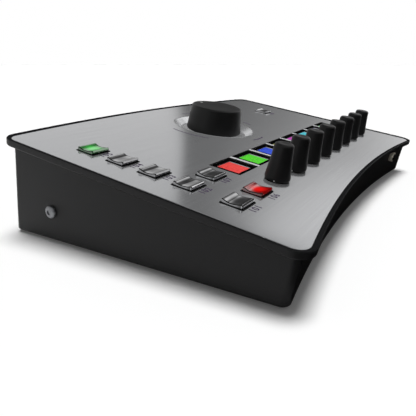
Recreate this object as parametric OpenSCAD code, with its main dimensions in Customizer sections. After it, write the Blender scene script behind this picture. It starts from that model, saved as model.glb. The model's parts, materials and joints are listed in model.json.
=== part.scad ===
// Desktop control surface: a wedge-shaped case with a tilted panel that holds a large dial,
// a row of knobs under a row of small displays, and push keys.
// X runs along the front edge, Y towards the back and Z up, from the middle of the footprint.

/* [Case] */
// Width across the rim
case_w = 300; // [296:1:330]
// Depth of the rim at the middle, from its front edge to its back edge
case_d = 181.9; // [180:0.1:200]
// Radius of the hollow front edge, which the back edge runs parallel to
front_r = 975; // [900:5:1200]
// Tilt of the top towards the user, in degrees
tilt = 9.4; // [8:0.1:12]
// Height of the rim's front corners above the bottom edge of the case
front_h = 27.75; // [27:0.25:34]
// Height of the rim that runs round the top
rim_h = 3.6; // [3.2:0.1:5]
// How far the rim stands out from the walls
overhang = 4.5; // [4:0.1:5.5]
// Corner radius of the rim
rim_corner_r = 9.5; // [8:0.5:12]
// Width of the rim that shows around the panel
lip_w = 2.5; // [2:0.1:3.5]
// Corner radius of the walls
wall_corner_r = 4; // [3.5:0.25:6]
// Thickness of the walls
wall_t = 2.5; // [2:0.1:3]

/* [Panel] */
// Thickness of the metal panel
panel_t = 2; // [1.5:0.1:2.5]
// Corner radius of the panel
panel_corner_r = 7; // [5:0.5:9]

/* [Displays] */
// Number of channels, each with a knob and a display
channels = 8; // [4:1:8]
// Distance from the second column of keys to the first channel
row_gap = 26.25; // [25.5:0.05:27.5]
// Distance from the last channel to the rim's right side
row_edge = 34.4; // [32:0.1:36]
// Distance of the display row behind the front corners
display_v = 73.5; // [72.5:0.1:75]
// Metal left between two display windows
web_w = 3; // [2.6:0.1:3.6]
// Corner radius of a display window
window_corner_r = 0.8; // [0.5:0.1:1.2]
// Front-to-back size of a display window
window_d = 20.6; // [19.6:0.1:21]
// Width of a screen
screen_w = 15.2; // [14:0.1:16]
// Front-to-back size of a screen
screen_d = 14.2; // [13:0.1:15]
// Depth of the black bezel under the panel's face
bezel_drop = 0.9; // [0.6:0.1:1.2]
// Depth of a screen under the bezel
screen_drop = 0.4; // [0.3:0.1:0.8]
// How far the back of a display stays inside its window
display_inset = 1; // [0.8:0.1:1.5]

/* [Keys] */
// Distance from the rim's left side to the first column of keys
key_edge = 25.9; // [25:0.1:27]
// Distance from one key to the next
key_pitch = 21.65; // [21:0.05:22]
// Distance from the single key to the rim's right side
far_key_edge = 42; // [35:0.5:50]
// Width of a key with its frame
key_w = 14.2; // [13.4:0.1:14.8]
// Front-to-back size of a key with its frame
key_d = 12.8; // [12:0.1:13.4]
// Width of the frame that shows around a key cap
frame_w = 0.5; // [0.4:0.05:0.7]
// Corner radius of that frame
key_corner_r = 1; // [0.6:0.1:1.5]
// Height of that frame above the panel
frame_rise = 0.2; // [0.1:0.1:0.5]
// Height of a key cap's front and back lips above the panel
key_rise = 1.6; // [1.4:0.1:2.4]
// Depth of the hollow in a key cap's top
key_dip = 1; // [0.6:0.1:1.1]
// Travel of a key
key_travel = 1.2; // [0.8:0.1:1.5]
// Radius of a key cap's stem
stem_r = 1.7; // [1.4:0.1:2]

/* [Knobs] */
// Distance of the knob row behind the front corners
knob_v = 46; // [45:0.5:48]
// Radius of a knob at its foot
knob_base_r = 7.4; // [7.2:0.1:8]
// Radius of a knob at its top
knob_top_r = 5.5; // [5:0.1:6.5]
// Height of a knob's top above the panel
knob_h = 21; // [18:0.5:24]
// Radius of the rounding at a knob's top edge
knob_round = 1.2; // [0.8:0.1:1.6]
// Radius of a control's shaft
shaft_r = 3; // [2.5:0.1:3.1]
// Radius of a knob's threaded bush
bush_r = 3.5; // [3.4:0.05:3.8]
// Size across the flats of a knob's nut
nut_af = 10; // [9:0.1:10.2]
// Thickness of a knob's nut
nut_t = 1.8; // [1.4:0.1:2.4]
// Width of the square encoder under a knob
encoder_w = 12; // [11:0.5:13]
// Thickness left over the shaft in a knob
knob_cap_t = 4; // [3:0.5:6]
// Depth of the shallow dish in the top of a knob or the dial
knob_dish = 0.4; // [0.2:0.1:0.6]
// Radius of the rounding at the foot of a knob or the dial
foot_round = 0.8; // [0.5:0.1:1]

/* [Dial] */
// Distance of the dial's middle behind the front corners
dial_v = 132.5; // [130:0.5:134]
// Radius of the polished dish that the dial stands in
dish_r = 31.6; // [30:0.1:33]
// Depth of the dish under the panel's face
dish_drop = 3.7; // [3:0.1:4.2]
// Thickness of the dish
dish_t = 1.3; // [1:0.1:1.6]
// Width of the dish's flat floor that shows round the dial
dish_flat = 2; // [1:0.1:3]
// Thickness of the dish's upper edge
dish_edge_t = 0.3; // [0.2:0.05:0.5]
// Width of the flange that holds the dish under the panel
dish_flange_w = 3; // [2:0.1:4]
// Radius of the dial at its foot
dial_base_r = 21.4; // [20:0.1:22]
// Radius of the dial at its top
dial_top_r = 19.4; // [18:0.1:20]
// Height of the dial's top above the panel
dial_h = 16; // [13:0.5:20]
// Radius of the rounding at the dial's top edge
dial_round = 1.6; // [1:0.1:2.4]
// Radius of the dial's threaded bush
dial_bush_r = 4.5; // [4:0.1:5]
// Size across the flats of the dial's nut
dial_nut_af = 13; // [12:0.5:15]
// Thickness of the dial's nut
dial_nut_t = 2; // [1.6:0.1:2.4]
// Width of the square encoder under the dial
dial_encoder_w = 14; // [12:0.5:16]
// Thickness left over the shaft in the dial
dial_cap_t = 4.5; // [3:0.5:6]

/* [Boards] */
// Thickness of the circuit boards
board_t = 1.6; // [1.2:0.1:2]
// Gap between the panel and the control board under it
board_drop = 8; // [7.6:0.1:9]
// Front edge of the control board, behind the front corners
board_front_v = 30; // [29:0.5:34]
// Distance from the control board's back edge to the rim's back edge
board_back_edge = 35.5; // [34:0.5:42]
// Gap between the control board and the walls
board_edge = 2.6; // [2:0.1:4]
// Width of the socket board
socket_board_w = 84; // [80:1:100]
// Height of the socket board
socket_board_h = 22; // [20:0.5:26]
// Depth of the sockets between the back wall's face and the socket board
socket_depth = 16; // [15:0.5:18]
// Depth of the sockets' middle under the panel's face
socket_drop = 36; // [34:0.5:38]
// Distance of the socket board's screws from its ends
socket_post_edge = 8; // [7:0.5:10]
// Radius of the posts that carry the socket board
socket_post_r = 3.2; // [2.8:0.1:4]
// Width of the ribbon cable
ribbon_w = 20; // [12:1:26]
// Thickness of the ribbon cable
ribbon_t = 1; // [0.8:0.1:1.2]
// Size of the ribbon cable's bend
ribbon_bend = 8; // [7:0.5:9]
// Distance between the ribbon cable's plugs, along the control board
ribbon_reach = 17; // [16:0.5:20]
// Size of the ribbon cable's square plugs
plug_size = 6; // [5:0.5:7]
// How far a plug stands out past the ribbon cable's edges
plug_over = 1; // [0.5:0.1:1.5]

/* [Sockets] */
// Distance of each back socket from the middle
socket_u = 14; // [12:0.5:18]
// Width of the data socket
usb_w = 12; // [11.5:0.1:13]
// Height of the data socket
usb_h = 10.8; // [10.4:0.1:12]
// Width of the data socket's mouth
usb_mouth_w = 8.5; // [8.3:0.05:8.7]
// Height of the data socket's mouth
usb_mouth_h = 7.8; // [7.6:0.05:8]
// Depth of the data socket's mouth
usb_mouth_d = 9; // [8:0.5:10]
// Width of the data socket's tongue
usb_tongue_w = 5.6; // [5:0.1:6]
// Height of the data socket's tongue
usb_tongue_h = 3.2; // [3:0.1:3.4]
// Width of the power inlet
inlet_w = 9; // [8.5:0.1:10]
// Height of the power inlet
inlet_h = 11; // [10:0.1:12]
// Radius of the power inlet's hole
inlet_r = 2.9; // [2.75:0.05:3.2]
// Depth of the power inlet's hole
inlet_d = 9.5; // [9:0.5:11]
// Radius of the power inlet's pin
inlet_pin_r = 1; // [0.8:0.05:1.25]
// Distance from the headphone jack to the rim's right side
jack_edge = 45; // [40:0.5:55]
// Depth of the headphone jack's axis under the panel's face
jack_drop = 10.6; // [10:0.1:12]
// Radius of the headphone jack's hole
jack_r = 1.8; // [1.75:0.05:1.9]
// Depth of the headphone jack's hole, from the end of its bush
jack_hole_d = 15; // [14:0.5:16]
// Radius of the headphone jack's threaded bush
jack_bush_r = 3; // [2.8:0.1:3.2]
// How far the headphone jack's bush stands out of the wall
jack_rise = 3.6; // [3:0.1:4]
// How far the headphone jack's bush stands out of its nut
jack_proud = 0.4; // [0.2:0.1:0.8]
// Radius of the headphone jack's round nut
jack_nut_r = 4.2; // [3.8:0.1:4.6]
// Width and height of the headphone jack behind the wall
jack_body_w = 9; // [8:0.5:10]
// Length of the headphone jack behind the wall
jack_body_d = 14; // [13:0.5:15]

/* [Base, feet and screws] */
// Thickness of the base plate
base_t = 2; // [1.8:0.1:2.5]
// Height of the rubber feet
foot_h = 1.5; // [1:0.1:3]
// Radius of the rubber feet
foot_r = 8; // [6:0.5:10]
// Distance of the feet in from the side walls' inside
foot_edge = 20; // [16:1:30]
// Distance of the front feet behind the front corners
foot_front = 38; // [34:1:50]
// Distance of the back feet in from the back wall's inside
foot_back = 27.6; // [24:0.1:40]
// Height of the screw posts above the base plate
post_h = 12; // [10:0.5:14]
// Radius of the screw posts
post_r = 4.5; // [4:0.1:5]
// Distance of the front screw posts behind the front corners
post_front = 32; // [28:1:40]
// Distance of the back screw posts in from the back wall's inside
post_back = 21.6; // [18:0.1:30]
// Radius of a base screw
base_screw_r = 1.5; // [1.25:0.05:1.6]
// Radius of a base screw's countersunk head
base_head_r = 2.75; // [2.5:0.05:3]
// Length of a base screw
base_screw_l = 10; // [8:0.5:12]
// Radius of a board screw
board_screw_r = 1.25; // [1:0.05:1.4]
// Radius of a board screw's head
board_head_r = 2.4; // [2.1:0.1:2.6]
// Height of a board screw's head
board_head_h = 1.6; // [1.2:0.1:2]
// Length of a board screw
board_screw_l = 6; // [5:0.5:8]
// Radius of the standoffs between the panel and the control board
standoff_r = 2.6; // [2.4:0.1:3]
// Distance of each side screw behind the front corners
side_screw_v = 147.6; // [140:0.1:150]
// Depth of each side screw under the panel's face
side_screw_drop = 34.6; // [32:0.1:36]
// Radius of a side screw
side_screw_r = 2; // [1.5:0.1:2.2]
// Radius of a side screw's domed head
side_head_r = 3.8; // [3.5:0.1:4.4]
// Height of a side screw's domed head
side_head_h = 2.5; // [2.2:0.1:3]
// Length of a side screw
side_screw_l = 9; // [8:0.5:10]
// Radius of the post behind a side screw
side_post_r = 5; // [4:0.1:6]
// Length of the post behind a side screw
side_post_l = 8; // [7:0.5:9]

/* [Clearances] */
// Gap round a shaft in its bush and a stem in its switch
run_gap = 0.05; // [0.02:0.01:0.1]
// Gap round a fastener or a shaft that is held tight
tight_gap = 0.02; // [0.01:0.01:0.05]
// Gap round a piece that is let into another
fit_gap = 0.1; // [0.05:0.01:0.2]
// Gap between a key cap and its frame
key_gap = 0.15; // [0.1:0.05:0.3]
// Gap between a turning knob or dial and what lies under it
turn_gap = 0.6; // [0.4:0.1:0.8]
// Gap left at the end of a travel or a hole
end_gap = 0.4; // [0.3:0.1:0.6]

/* [Hidden] */
$fn = 64;
// Facets of the long arcs
arc_fn = 256;
// Overlap of a cutting solid past the face that it cuts
cut = 1;

// The panel's own axes are u across, v from the front corners towards the back, and w out of the face.
arc_v = -sqrt(pow(front_r, 2) - pow(case_w / 2, 2));
back_r = front_r + case_d;
back_v = arc_v + back_r;
inner_inset = overhang + wall_t;
inner_half = case_w / 2 - inner_inset;
wall_half = case_w / 2 - overhang;
inner_corner_r = wall_corner_r - wall_t;
wall_back_v = back_v - overhang;

// The footprint runs from the rim's front corners to the foot of the back wall.
rim_front_v = arc_v + sqrt(pow(front_r + rim_corner_r, 2) - pow(case_w / 2 - rim_corner_r, 2)) - rim_corner_r;
wall_back_y = wall_back_v / cos(tilt) + front_h * tan(tilt);
rim_back_y = back_v * cos(tilt) + rim_h * sin(tilt);
front_y = -(rim_front_v * cos(tilt) + max(wall_back_y, rim_back_y)) / 2;
front_z = foot_h + front_h;
// Depth of the walls along the panel's normal, past the bottom at the back
wall_depth = (front_h + back_v * sin(tilt)) / cos(tilt) + cut;
base_top_z = foot_h + base_t;

// Levels along the panel's normal
panel_bottom = -panel_t;
board_top = panel_bottom - board_drop;
board_bottom = board_top - board_t;
// Thickness of the flanges that hold the bezels and key frames under the panel
flange_t = 1.6;
flange_bottom = panel_bottom - flange_t;

// The keys, and the channel row between them and the right side
key_u = -case_w / 2 + key_edge;
first_u = key_u + key_pitch + row_gap;
channel_pitch = (case_w / 2 - row_edge - first_u) / (channels - 1);
function channel_u(i) = first_u + (i - 1) * channel_pitch;
window_w = channel_pitch - web_w;
key_rows = [knob_v, display_v, for (k = [1:3]) display_v + k * key_pitch];
key_places = concat(
  [for (v = key_rows) [key_u, v]],
  [for (k = [0:1]) [key_u + key_pitch, key_rows[k]]],
  [[case_w / 2 - far_key_edge, key_rows[4]]]
);
keys = len(key_places);
cap_w = key_w - 2 * (frame_w + key_gap);
cap_d = key_d - 2 * (frame_w + key_gap);
// Width of the flange that holds a key frame under the panel
key_flange_w = 1;
// A key cap is kept in by a plate under its frame, and its stem dips into the switch.
cap_plate_t = 1;
cap_plate_top = flange_bottom - key_gap;
cap_plate_bottom = cap_plate_top - cap_plate_t;
stem_in = 1;
switch_top = cap_plate_bottom - key_travel - end_gap;
switch_w = 7;
stem_bottom = switch_top - stem_in;
stem_hole_bottom = stem_bottom - key_travel - end_gap;
// Radius of the hollow across a key cap's top
dip_r = (pow(cap_d / 2, 2) + pow(key_dip, 2)) / (2 * key_dip);

// A knob's bush, nut and shaft
// How far a bush stands out of its nut
bush_proud = 1;
bush_top = nut_t + bush_proud;
nut_corner_r = nut_af / 2 / cos(30);
knob_room_r = nut_corner_r + end_gap;
knob_room_top = bush_top + end_gap;
shaft_top = knob_h - knob_cap_t;
// Thickness of an encoder's floor under its shaft
encoder_floor_t = 1;
shaft_bottom = board_top + encoder_floor_t;

// The dial's dish, bush, nut and shaft
dish_floor = -dish_drop;
dish_bottom = dish_floor - dish_t;
dish_floor_r = dial_base_r + dish_flat;
dish_flange_r = dish_r + dish_flange_w;
dial_bush_top = dish_floor + dial_nut_t + bush_proud;
dial_nut_corner_r = dial_nut_af / 2 / cos(30);
dial_room_r = dial_nut_corner_r + end_gap;
dial_foot = dish_floor + turn_gap;
dial_room_top = dial_bush_top + end_gap;
dial_shaft_top = dial_h - dial_cap_t;

// The control board and its standoffs
board_half = inner_half - board_edge;
board_back_v = back_v - board_back_edge;
// Distance of the standoffs' middles from the board's edges
standoff_edge = standoff_r + 1;
standoff_u = board_half - standoff_edge;
standoff_rows = [
  board_front_v + standoff_edge,
  (board_front_v + board_back_v) / 2,
  board_back_v - standoff_edge
];
// Two more standoffs stand between the display row and the dial.
standoff_mid = [60, 100];
standoff_places = concat(
  [for (u = [-standoff_u, standoff_u], v = standoff_rows) [u, v]],
  [for (u = [-standoff_mid.x, standoff_mid.x]) [u, standoff_mid.y]]
);

// The socket board stands inside the back wall, on two posts.
socket_face_v = wall_back_v - 2 * fit_gap;
socket_board_v = socket_face_v - socket_depth;
socket_post_u = socket_board_w / 2 - socket_post_edge;
// Points of the ribbon cable, from the socket board's plug up to the control board's plug
plug_v = socket_board_v - board_t - plug_size / 2;
plug_top = board_bottom - plug_size / 2;
ribbon_path = [
  [plug_v, -socket_drop + (socket_board_h - plug_size) / 2],
  [plug_v, board_bottom - ribbon_bend],
  [plug_v - ribbon_bend, plug_top],
  [plug_v - ribbon_reach, plug_top]
];

// The headphone jack turns about the front arc's centre.
jack_wall_r = front_r + overhang;
jack_angle = asin((case_w / 2 - jack_edge) / jack_wall_r);
jack_nut_t = jack_rise - jack_proud;

// How far a screw post sinks into its wall
post_sink = 0.6;
// Base screws and feet, measured from the front corners along the base
base_back = wall_back_y - wall_t / cos(tilt);
post_u = inner_half - post_r + post_sink;
post_rows = [post_front, (post_front + base_back - post_back) / 2, base_back - post_back];
foot_rows = [foot_front, base_back - foot_back];
foot_u = inner_half - foot_edge;

screen_colours = ["#d93a37", "#4fd023", "#2446c8", "#b9b52c", "#c83a9c", "#2fb6c4", "#7a44c0", "#3fb548"];
dark_key = "#3a3a3c";
key_colours = [dark_key, dark_key, dark_key, dark_key, "#35c048", "#c41f1f", dark_key, dark_key];

// Turns the panel's axes into the case's, at one place on the panel.
module on_panel(place = [0, 0, 0]) {
  translate([0, front_y, front_z]) rotate([tilt, 0, 0]) translate(place) children();
}

// Stands a piece on the front wall's face, with +Y going into the case.
module on_front_wall(angle, drop) {
  on_panel([0, arc_v, -drop]) rotate([0, 0, -angle]) translate([0, jack_wall_r, 0]) children();
}

// Lays a round piece along the panel's v axis, from its foot towards the back.
module along_v() {
  rotate([-90, 0, 0]) children();
}

// Outline of the case, drawn in from the rim by an inset.
module outline(inset, corner_r) {
  half = case_w / 2 - inset;
  near_r = front_r + inset;
  far_r = back_r - inset;
  corner_u = half - corner_r;
  near_v = sqrt(pow(near_r + corner_r, 2) - pow(corner_u, 2));
  far_v = sqrt(pow(far_r - corner_r, 2) - pow(corner_u, 2));
  near_end = [corner_u, near_v] * near_r / (near_r + corner_r);
  far_end = [corner_u, far_v] * far_r / (far_r - corner_r);
  translate([0, arc_v]) {
    difference() {
      polygon([
        [-corner_u, near_v], [-near_end.x, near_end.y], near_end, [corner_u, near_v],
        [half, near_v], [half, far_v], [corner_u, far_v], far_end,
        [-far_end.x, far_end.y], [-corner_u, far_v], [-half, far_v], [-half, near_v]
      ]);
      circle(near_r, $fn = arc_fn);
    }
    for (u = [-corner_u, corner_u], v = [near_v, far_v])
      translate([u, v]) circle(corner_r);
    intersection() {
      circle(far_r, $fn = arc_fn);
      translate([-far_end.x, far_end.y]) square([2 * far_end.x, far_r - far_end.y + cut]);
    }
  }
}

// Rectangle with round corners, about its middle
module round_rect(w, d, r) {
  square([w - 2 * r, d], center = true);
  square([w, d - 2 * r], center = true);
  for (x = [-1, 1], y = [-1, 1])
    translate([x * (w / 2 - r), y * (d / 2 - r)]) circle(r);
}

// Upright plate between two levels on the panel's normal
module slab(w, d, low, high) {
  translate([-w / 2, -d / 2, low]) cube([w, d, high - low]);
}

// Round bar between two levels on the panel's normal
module bar(r, low, high) {
  translate([0, 0, low]) cylinder(r = r, h = high - low);
}

// Hexagon nut on a face, with a clear hole
module hex_nut(af, t, hole_r) {
  difference() {
    cylinder(r = af / 2 / cos(30), h = t, $fn = 6);
    translate([0, 0, -cut]) cylinder(r = hole_r, h = t + 2 * cut);
  }
}

// Points of an arc about a centre
function arc(centre, r, from, to, steps = 5) =
  [for (k = [0:steps]) let (a = from + (to - from) * k / steps) centre + r * [cos(a), sin(a)]];

// Half section of a turned knob, with a rounded foot and top, a room for the nut and a blind bore
module turned_knob(base_r, top_r, foot, top, top_round, room_r, room_top, bore_r, bore_top) {
  rotate_extrude() polygon(concat(
    [[room_r, foot]],
    arc([base_r - foot_round, foot + foot_round], foot_round, -90, 0),
    arc([top_r - top_round, top - top_round], top_round, 0, 90),
    [[top_r - 2 * top_round, top - knob_dish], [0, top - knob_dish]],
    [[0, bore_top], [bore_r, bore_top], [bore_r, room_top], [room_r, room_top]]
  ));
}

// Outline of a strip of even thickness along a path
function turn_of(p, i) = let (a = p[max(i - 1, 0)], b = p[min(i + 1, len(p) - 1)]) (b - a) / norm(b - a);
function strip(p, t) = concat(
  [for (i = [0:len(p) - 1]) p[i] + t / 2 * [-turn_of(p, i).y, turn_of(p, i).x]],
  [for (i = [len(p) - 1:-1:0]) p[i] - t / 2 * [-turn_of(p, i).y, turn_of(p, i).x]]
);

// Everything above the bottom edge of the case
module above_bottom() {
  translate([-case_w, -2 * case_d, foot_h]) cube([2 * case_w, 4 * case_d, 2 * wall_depth]);
}

// Places of the base screws, on the level of the base plate
module at_posts() {
  for (side = [-1, 1], y = post_rows)
    translate([side * post_u, front_y + y, 0]) children();
}

// A side screw's place on the right wall, with +Z going out of the case
module at_right_screw() {
  on_panel([wall_half, side_screw_v, -side_screw_drop]) rotate([0, 90, 0]) children();
}

// Both side walls, where the left one mirrors the right
module both_sides() {
  children();
  mirror([1, 0, 0]) children();
}

module case_tub() {
  color("#1c1c1e") difference() {
    union() {
      on_panel([0, 0, -rim_h]) linear_extrude(rim_h) outline(0, rim_corner_r);
      difference() {
        intersection() {
          on_panel([0, 0, -wall_depth]) linear_extrude(wall_depth - rim_h / 2)
            outline(overhang, wall_corner_r);
          above_bottom();
        }
        on_panel([0, 0, -wall_depth - cut]) linear_extrude(wall_depth + cut)
          outline(inner_inset, inner_corner_r);
      }
      at_posts() translate([0, 0, base_top_z]) cylinder(r = post_r, h = post_h);
      both_sides() at_right_screw()
        translate([0, 0, -wall_t - side_post_l]) cylinder(r = side_post_r, h = side_post_l + wall_t / 2);
      for (side = [-1, 1])
        on_panel([side * socket_post_u, socket_board_v, -socket_drop])
          along_v() cylinder(r = socket_post_r, h = socket_depth - wall_t / 2);
    }
    on_panel([0, 0, -rim_h - cut]) linear_extrude(rim_h + 2 * cut) outline(inner_inset, inner_corner_r);
    on_panel([0, 0, panel_bottom]) linear_extrude(panel_t + cut) outline(lip_w, panel_corner_r);
    at_posts() translate([0, 0, base_top_z - cut])
      cylinder(r = base_screw_r + tight_gap, h = base_screw_l - base_t + end_gap + cut);
    both_sides() at_right_screw()
      translate([0, 0, -side_screw_l - end_gap])
        cylinder(r = side_screw_r + tight_gap, h = side_screw_l + end_gap + cut);
    on_front_wall(jack_angle, jack_drop)
      translate([0, -cut, 0]) along_v() cylinder(r = jack_bush_r + fit_gap, h = wall_t + 2 * cut);
    for (side = [-1, 1])
      on_panel([side * socket_post_u, socket_board_v - cut, -socket_drop])
        along_v() cylinder(r = board_screw_r + tight_gap, h = board_screw_l - board_t + end_gap + cut);
    socket_hole(-socket_u, usb_w, usb_h);
    socket_hole(socket_u, inlet_w, inlet_h);
  }
}

// Square hole through the back wall for a socket
module socket_hole(u, w, h) {
  on_panel([u - w / 2 - fit_gap, socket_face_v - 2 * wall_t, -socket_drop - h / 2 - fit_gap])
    cube([w + 2 * fit_gap, 4 * wall_t, h + 2 * fit_gap]);
}

module base_plate() {
  color("#2a2a2c") difference() {
    intersection() {
      on_panel([0, 0, -wall_depth])
        linear_extrude(wall_depth) outline(inner_inset + fit_gap, inner_corner_r - fit_gap);
      translate([-case_w, -2 * case_d, foot_h]) cube([2 * case_w, 4 * case_d, base_t]);
    }
    at_posts() translate([0, 0, foot_h - cut]) cylinder(r = base_screw_r + fit_gap, h = base_t + 2 * cut);
    at_posts() countersink(fit_gap);
  }
}

// Cone of a base screw's head, from the underside of the base plate
module countersink(gap) {
  translate([0, 0, foot_h])
    cylinder(r1 = base_head_r + gap, r2 = base_screw_r + gap, h = base_head_r - base_screw_r);
}

module rubber_feet() {
  color("#101011")
    for (side = [-1, 1], y = foot_rows)
      translate([side * foot_u, front_y + y, 0]) cylinder(r = foot_r, h = foot_h);
}

module base_screws() {
  color("#55565a") at_posts() {
    countersink(0);
    translate([0, 0, foot_h]) cylinder(r = base_screw_r, h = base_screw_l);
  }
}

module side_screws() {
  // Radius of the head's dome, and the size of its six-sided socket
  dome_r = (pow(side_head_r, 2) + pow(side_head_h, 2)) / (2 * side_head_h);
  key_size = side_screw_r * 0.72;
  key_depth = side_head_h / 2;
  color("#a9abb0") both_sides() at_right_screw() difference() {
    union() {
      intersection() {
        translate([0, 0, side_head_h - dome_r]) sphere(r = dome_r);
        cylinder(r = side_head_r, h = side_head_h);
      }
      translate([0, 0, -side_screw_l]) cylinder(r = side_screw_r, h = side_screw_l + side_head_h / 4);
    }
    translate([0, 0, side_head_h - key_depth]) cylinder(r = key_size, h = side_head_h, $fn = 6);
  }
}

module top_panel() {
  color("#b4b6b9") on_panel([0, 0, panel_bottom]) linear_extrude(panel_t) difference() {
    outline(lip_w + fit_gap, panel_corner_r - fit_gap);
    translate([0, dial_v]) circle(dish_r + fit_gap);
    for (i = [1:channels]) {
      translate([channel_u(i), display_v]) round_rect(window_w, window_d, window_corner_r);
      translate([channel_u(i), knob_v]) circle(bush_r + fit_gap);
    }
    for (place = key_places)
      translate(place) round_rect(key_w + 2 * fit_gap, key_d + 2 * fit_gap, key_corner_r + fit_gap);
  }
}

module dial_dish() {
  // Centre of the curve that rises from the dish's floor to its edge
  rise_w = dish_r - dish_edge_t - dish_floor_r;
  bend_r = (pow(rise_w, 2) + pow(dish_drop, 2)) / (2 * dish_drop);
  bend = 2 * atan(dish_drop / rise_w);
  color("#c9cacc") on_panel([0, dial_v, 0]) rotate_extrude() polygon(concat(
    [[dial_bush_r + fit_gap, dish_bottom], [dial_bush_r + fit_gap, dish_floor]],
    arc([dish_floor_r, dish_floor + bend_r], bend_r, -90, -90 + bend, 8),
    [[dish_r, 0], [dish_r, panel_bottom], [dish_flange_r, panel_bottom]],
    [[dish_flange_r, panel_bottom - dish_t], [dish_r, panel_bottom - dish_t], [dish_floor_r, dish_bottom]]
  ));
}

module display_bezels() {
  color("#0c0c0d")
    for (i = [1:channels])
      on_panel([channel_u(i), display_v, 0]) difference() {
        union() {
          translate([0, 0, flange_bottom]) linear_extrude(-bezel_drop - flange_bottom)
            round_rect(window_w - 2 * fit_gap, window_d - 2 * fit_gap, window_corner_r - fit_gap);
          slab(window_w + web_w / 2, window_d + web_w / 2, flange_bottom, panel_bottom);
        }
        slab(screen_w + 2 * fit_gap, screen_d + 2 * fit_gap, flange_bottom - cut, cut);
      }
}

module display(i) {
  color(screen_colours[i - 1]) on_panel([channel_u(i), display_v, 0]) {
    slab(screen_w, screen_d, flange_bottom - cut, -bezel_drop - screen_drop);
    slab(window_w - 2 * display_inset, window_d - 2 * display_inset, board_top, flange_bottom);
  }
}

module key_frames() {
  color("#0e0e0f")
    for (place = key_places)
      on_panel([place.x, place.y, 0]) difference() {
        union() {
          translate([0, 0, flange_bottom]) linear_extrude(frame_rise - flange_bottom)
            round_rect(key_w, key_d, key_corner_r);
          slab(key_w + 2 * key_flange_w, key_d + 2 * key_flange_w, flange_bottom, panel_bottom);
        }
        slab(cap_w + 2 * key_gap, cap_d + 2 * key_gap, flange_bottom - cut, frame_rise + cut);
      }
}

module key_cap(i) {
  color(key_colours[i - 1]) on_panel([key_places[i - 1].x, key_places[i - 1].y, 0]) difference() {
    union() {
      slab(cap_w, cap_d, cap_plate_bottom, key_rise);
      slab(key_w, key_d, cap_plate_bottom, cap_plate_top);
      bar(stem_r, stem_bottom, cap_plate_bottom + cut / 2);
    }
    translate([-key_w, 0, key_rise - key_dip + dip_r]) rotate([0, 90, 0])
      cylinder(r = dip_r, h = 2 * key_w, $fn = arc_fn);
  }
}

module key_switches() {
  color("#26282b")
    for (place = key_places)
      on_panel([place.x, place.y, 0]) difference() {
        slab(switch_w, switch_w, board_top, switch_top);
        bar(stem_r + run_gap, stem_hole_bottom, switch_top + cut);
      }
}

module encoder_bodies() {
  color("#6c6e72")
    for (i = [1:channels])
      on_panel([channel_u(i), knob_v, 0]) difference() {
        union() {
          slab(encoder_w, encoder_w, board_top, panel_bottom - fit_gap);
          bar(bush_r, panel_bottom - cut, bush_top);
        }
        bar(shaft_r + run_gap, shaft_bottom - run_gap, bush_top + cut);
      }
}

module encoder_nuts() {
  color("#9a9ca1")
    for (i = [1:channels])
      on_panel([channel_u(i), knob_v, 0]) hex_nut(nut_af, nut_t, bush_r + tight_gap);
}

module knob_shaft(i) {
  color("#8c8e92") on_panel([channel_u(i), knob_v, 0]) bar(shaft_r, shaft_bottom, shaft_top);
}

module knob(i) {
  color("#1a1a1b") on_panel([channel_u(i), knob_v, 0])
    turned_knob(
      knob_base_r, knob_top_r, turn_gap, knob_h, knob_round,
      knob_room_r, knob_room_top, shaft_r + tight_gap, shaft_top + end_gap
    );
}

module dial_encoder() {
  color("#6c6e72") on_panel([0, dial_v, 0]) difference() {
    union() {
      slab(dial_encoder_w, dial_encoder_w, board_top, dish_bottom - fit_gap);
      bar(dial_bush_r, dish_bottom - cut, dial_bush_top);
    }
    bar(shaft_r + run_gap, shaft_bottom - run_gap, dial_bush_top + cut);
  }
}

module dial_nut() {
  color("#9a9ca1") on_panel([0, dial_v, dish_floor])
    hex_nut(dial_nut_af, dial_nut_t, dial_bush_r + tight_gap);
}

module dial_shaft() {
  color("#8c8e92") on_panel([0, dial_v, 0]) bar(shaft_r, shaft_bottom, dial_shaft_top);
}

module main_dial() {
  color("#1a1a1b") on_panel([0, dial_v, 0])
    turned_knob(
      dial_base_r, dial_top_r, dial_foot, dial_h, dial_round,
      dial_room_r, dial_room_top, shaft_r + tight_gap, dial_shaft_top + end_gap
    );
}

module control_board() {
  color("#1f5a3a") on_panel([-board_half, board_front_v, board_bottom]) difference() {
    cube([2 * board_half, board_back_v - board_front_v, board_t]);
    for (place = standoff_places)
      translate([place.x + board_half, place.y - board_front_v, -cut])
        cylinder(r = board_screw_r + fit_gap, h = board_t + 2 * cut);
  }
}

module panel_standoffs() {
  color("#b7b18f")
    for (place = standoff_places)
      on_panel([place.x, place.y, 0]) difference() {
        bar(standoff_r, board_top, panel_bottom);
        bar(board_screw_r + tight_gap, board_top - cut, board_top + board_screw_l - board_t + end_gap);
      }
}

// Pan-headed screw with its head's seat at the origin and its shank along +Z
module board_screw() {
  translate([0, 0, -board_head_h]) cylinder(r = board_head_r, h = board_head_h);
  cylinder(r = board_screw_r, h = board_screw_l);
}

module board_screws() {
  color("#8e9095") {
    for (place = standoff_places)
      on_panel([place.x, place.y, board_bottom]) board_screw();
    for (side = [-1, 1])
      on_panel([side * socket_post_u, socket_board_v - board_t, -socket_drop]) along_v() board_screw();
  }
}

module socket_board() {
  color("#1f5a3a") difference() {
    on_panel([-socket_board_w / 2, socket_board_v - board_t, -socket_drop - socket_board_h / 2])
      cube([socket_board_w, board_t, socket_board_h]);
    for (side = [-1, 1])
      on_panel([side * socket_post_u, socket_board_v - board_t - cut, -socket_drop])
        along_v() cylinder(r = board_screw_r + fit_gap, h = board_t + 2 * cut);
  }
}

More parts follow.
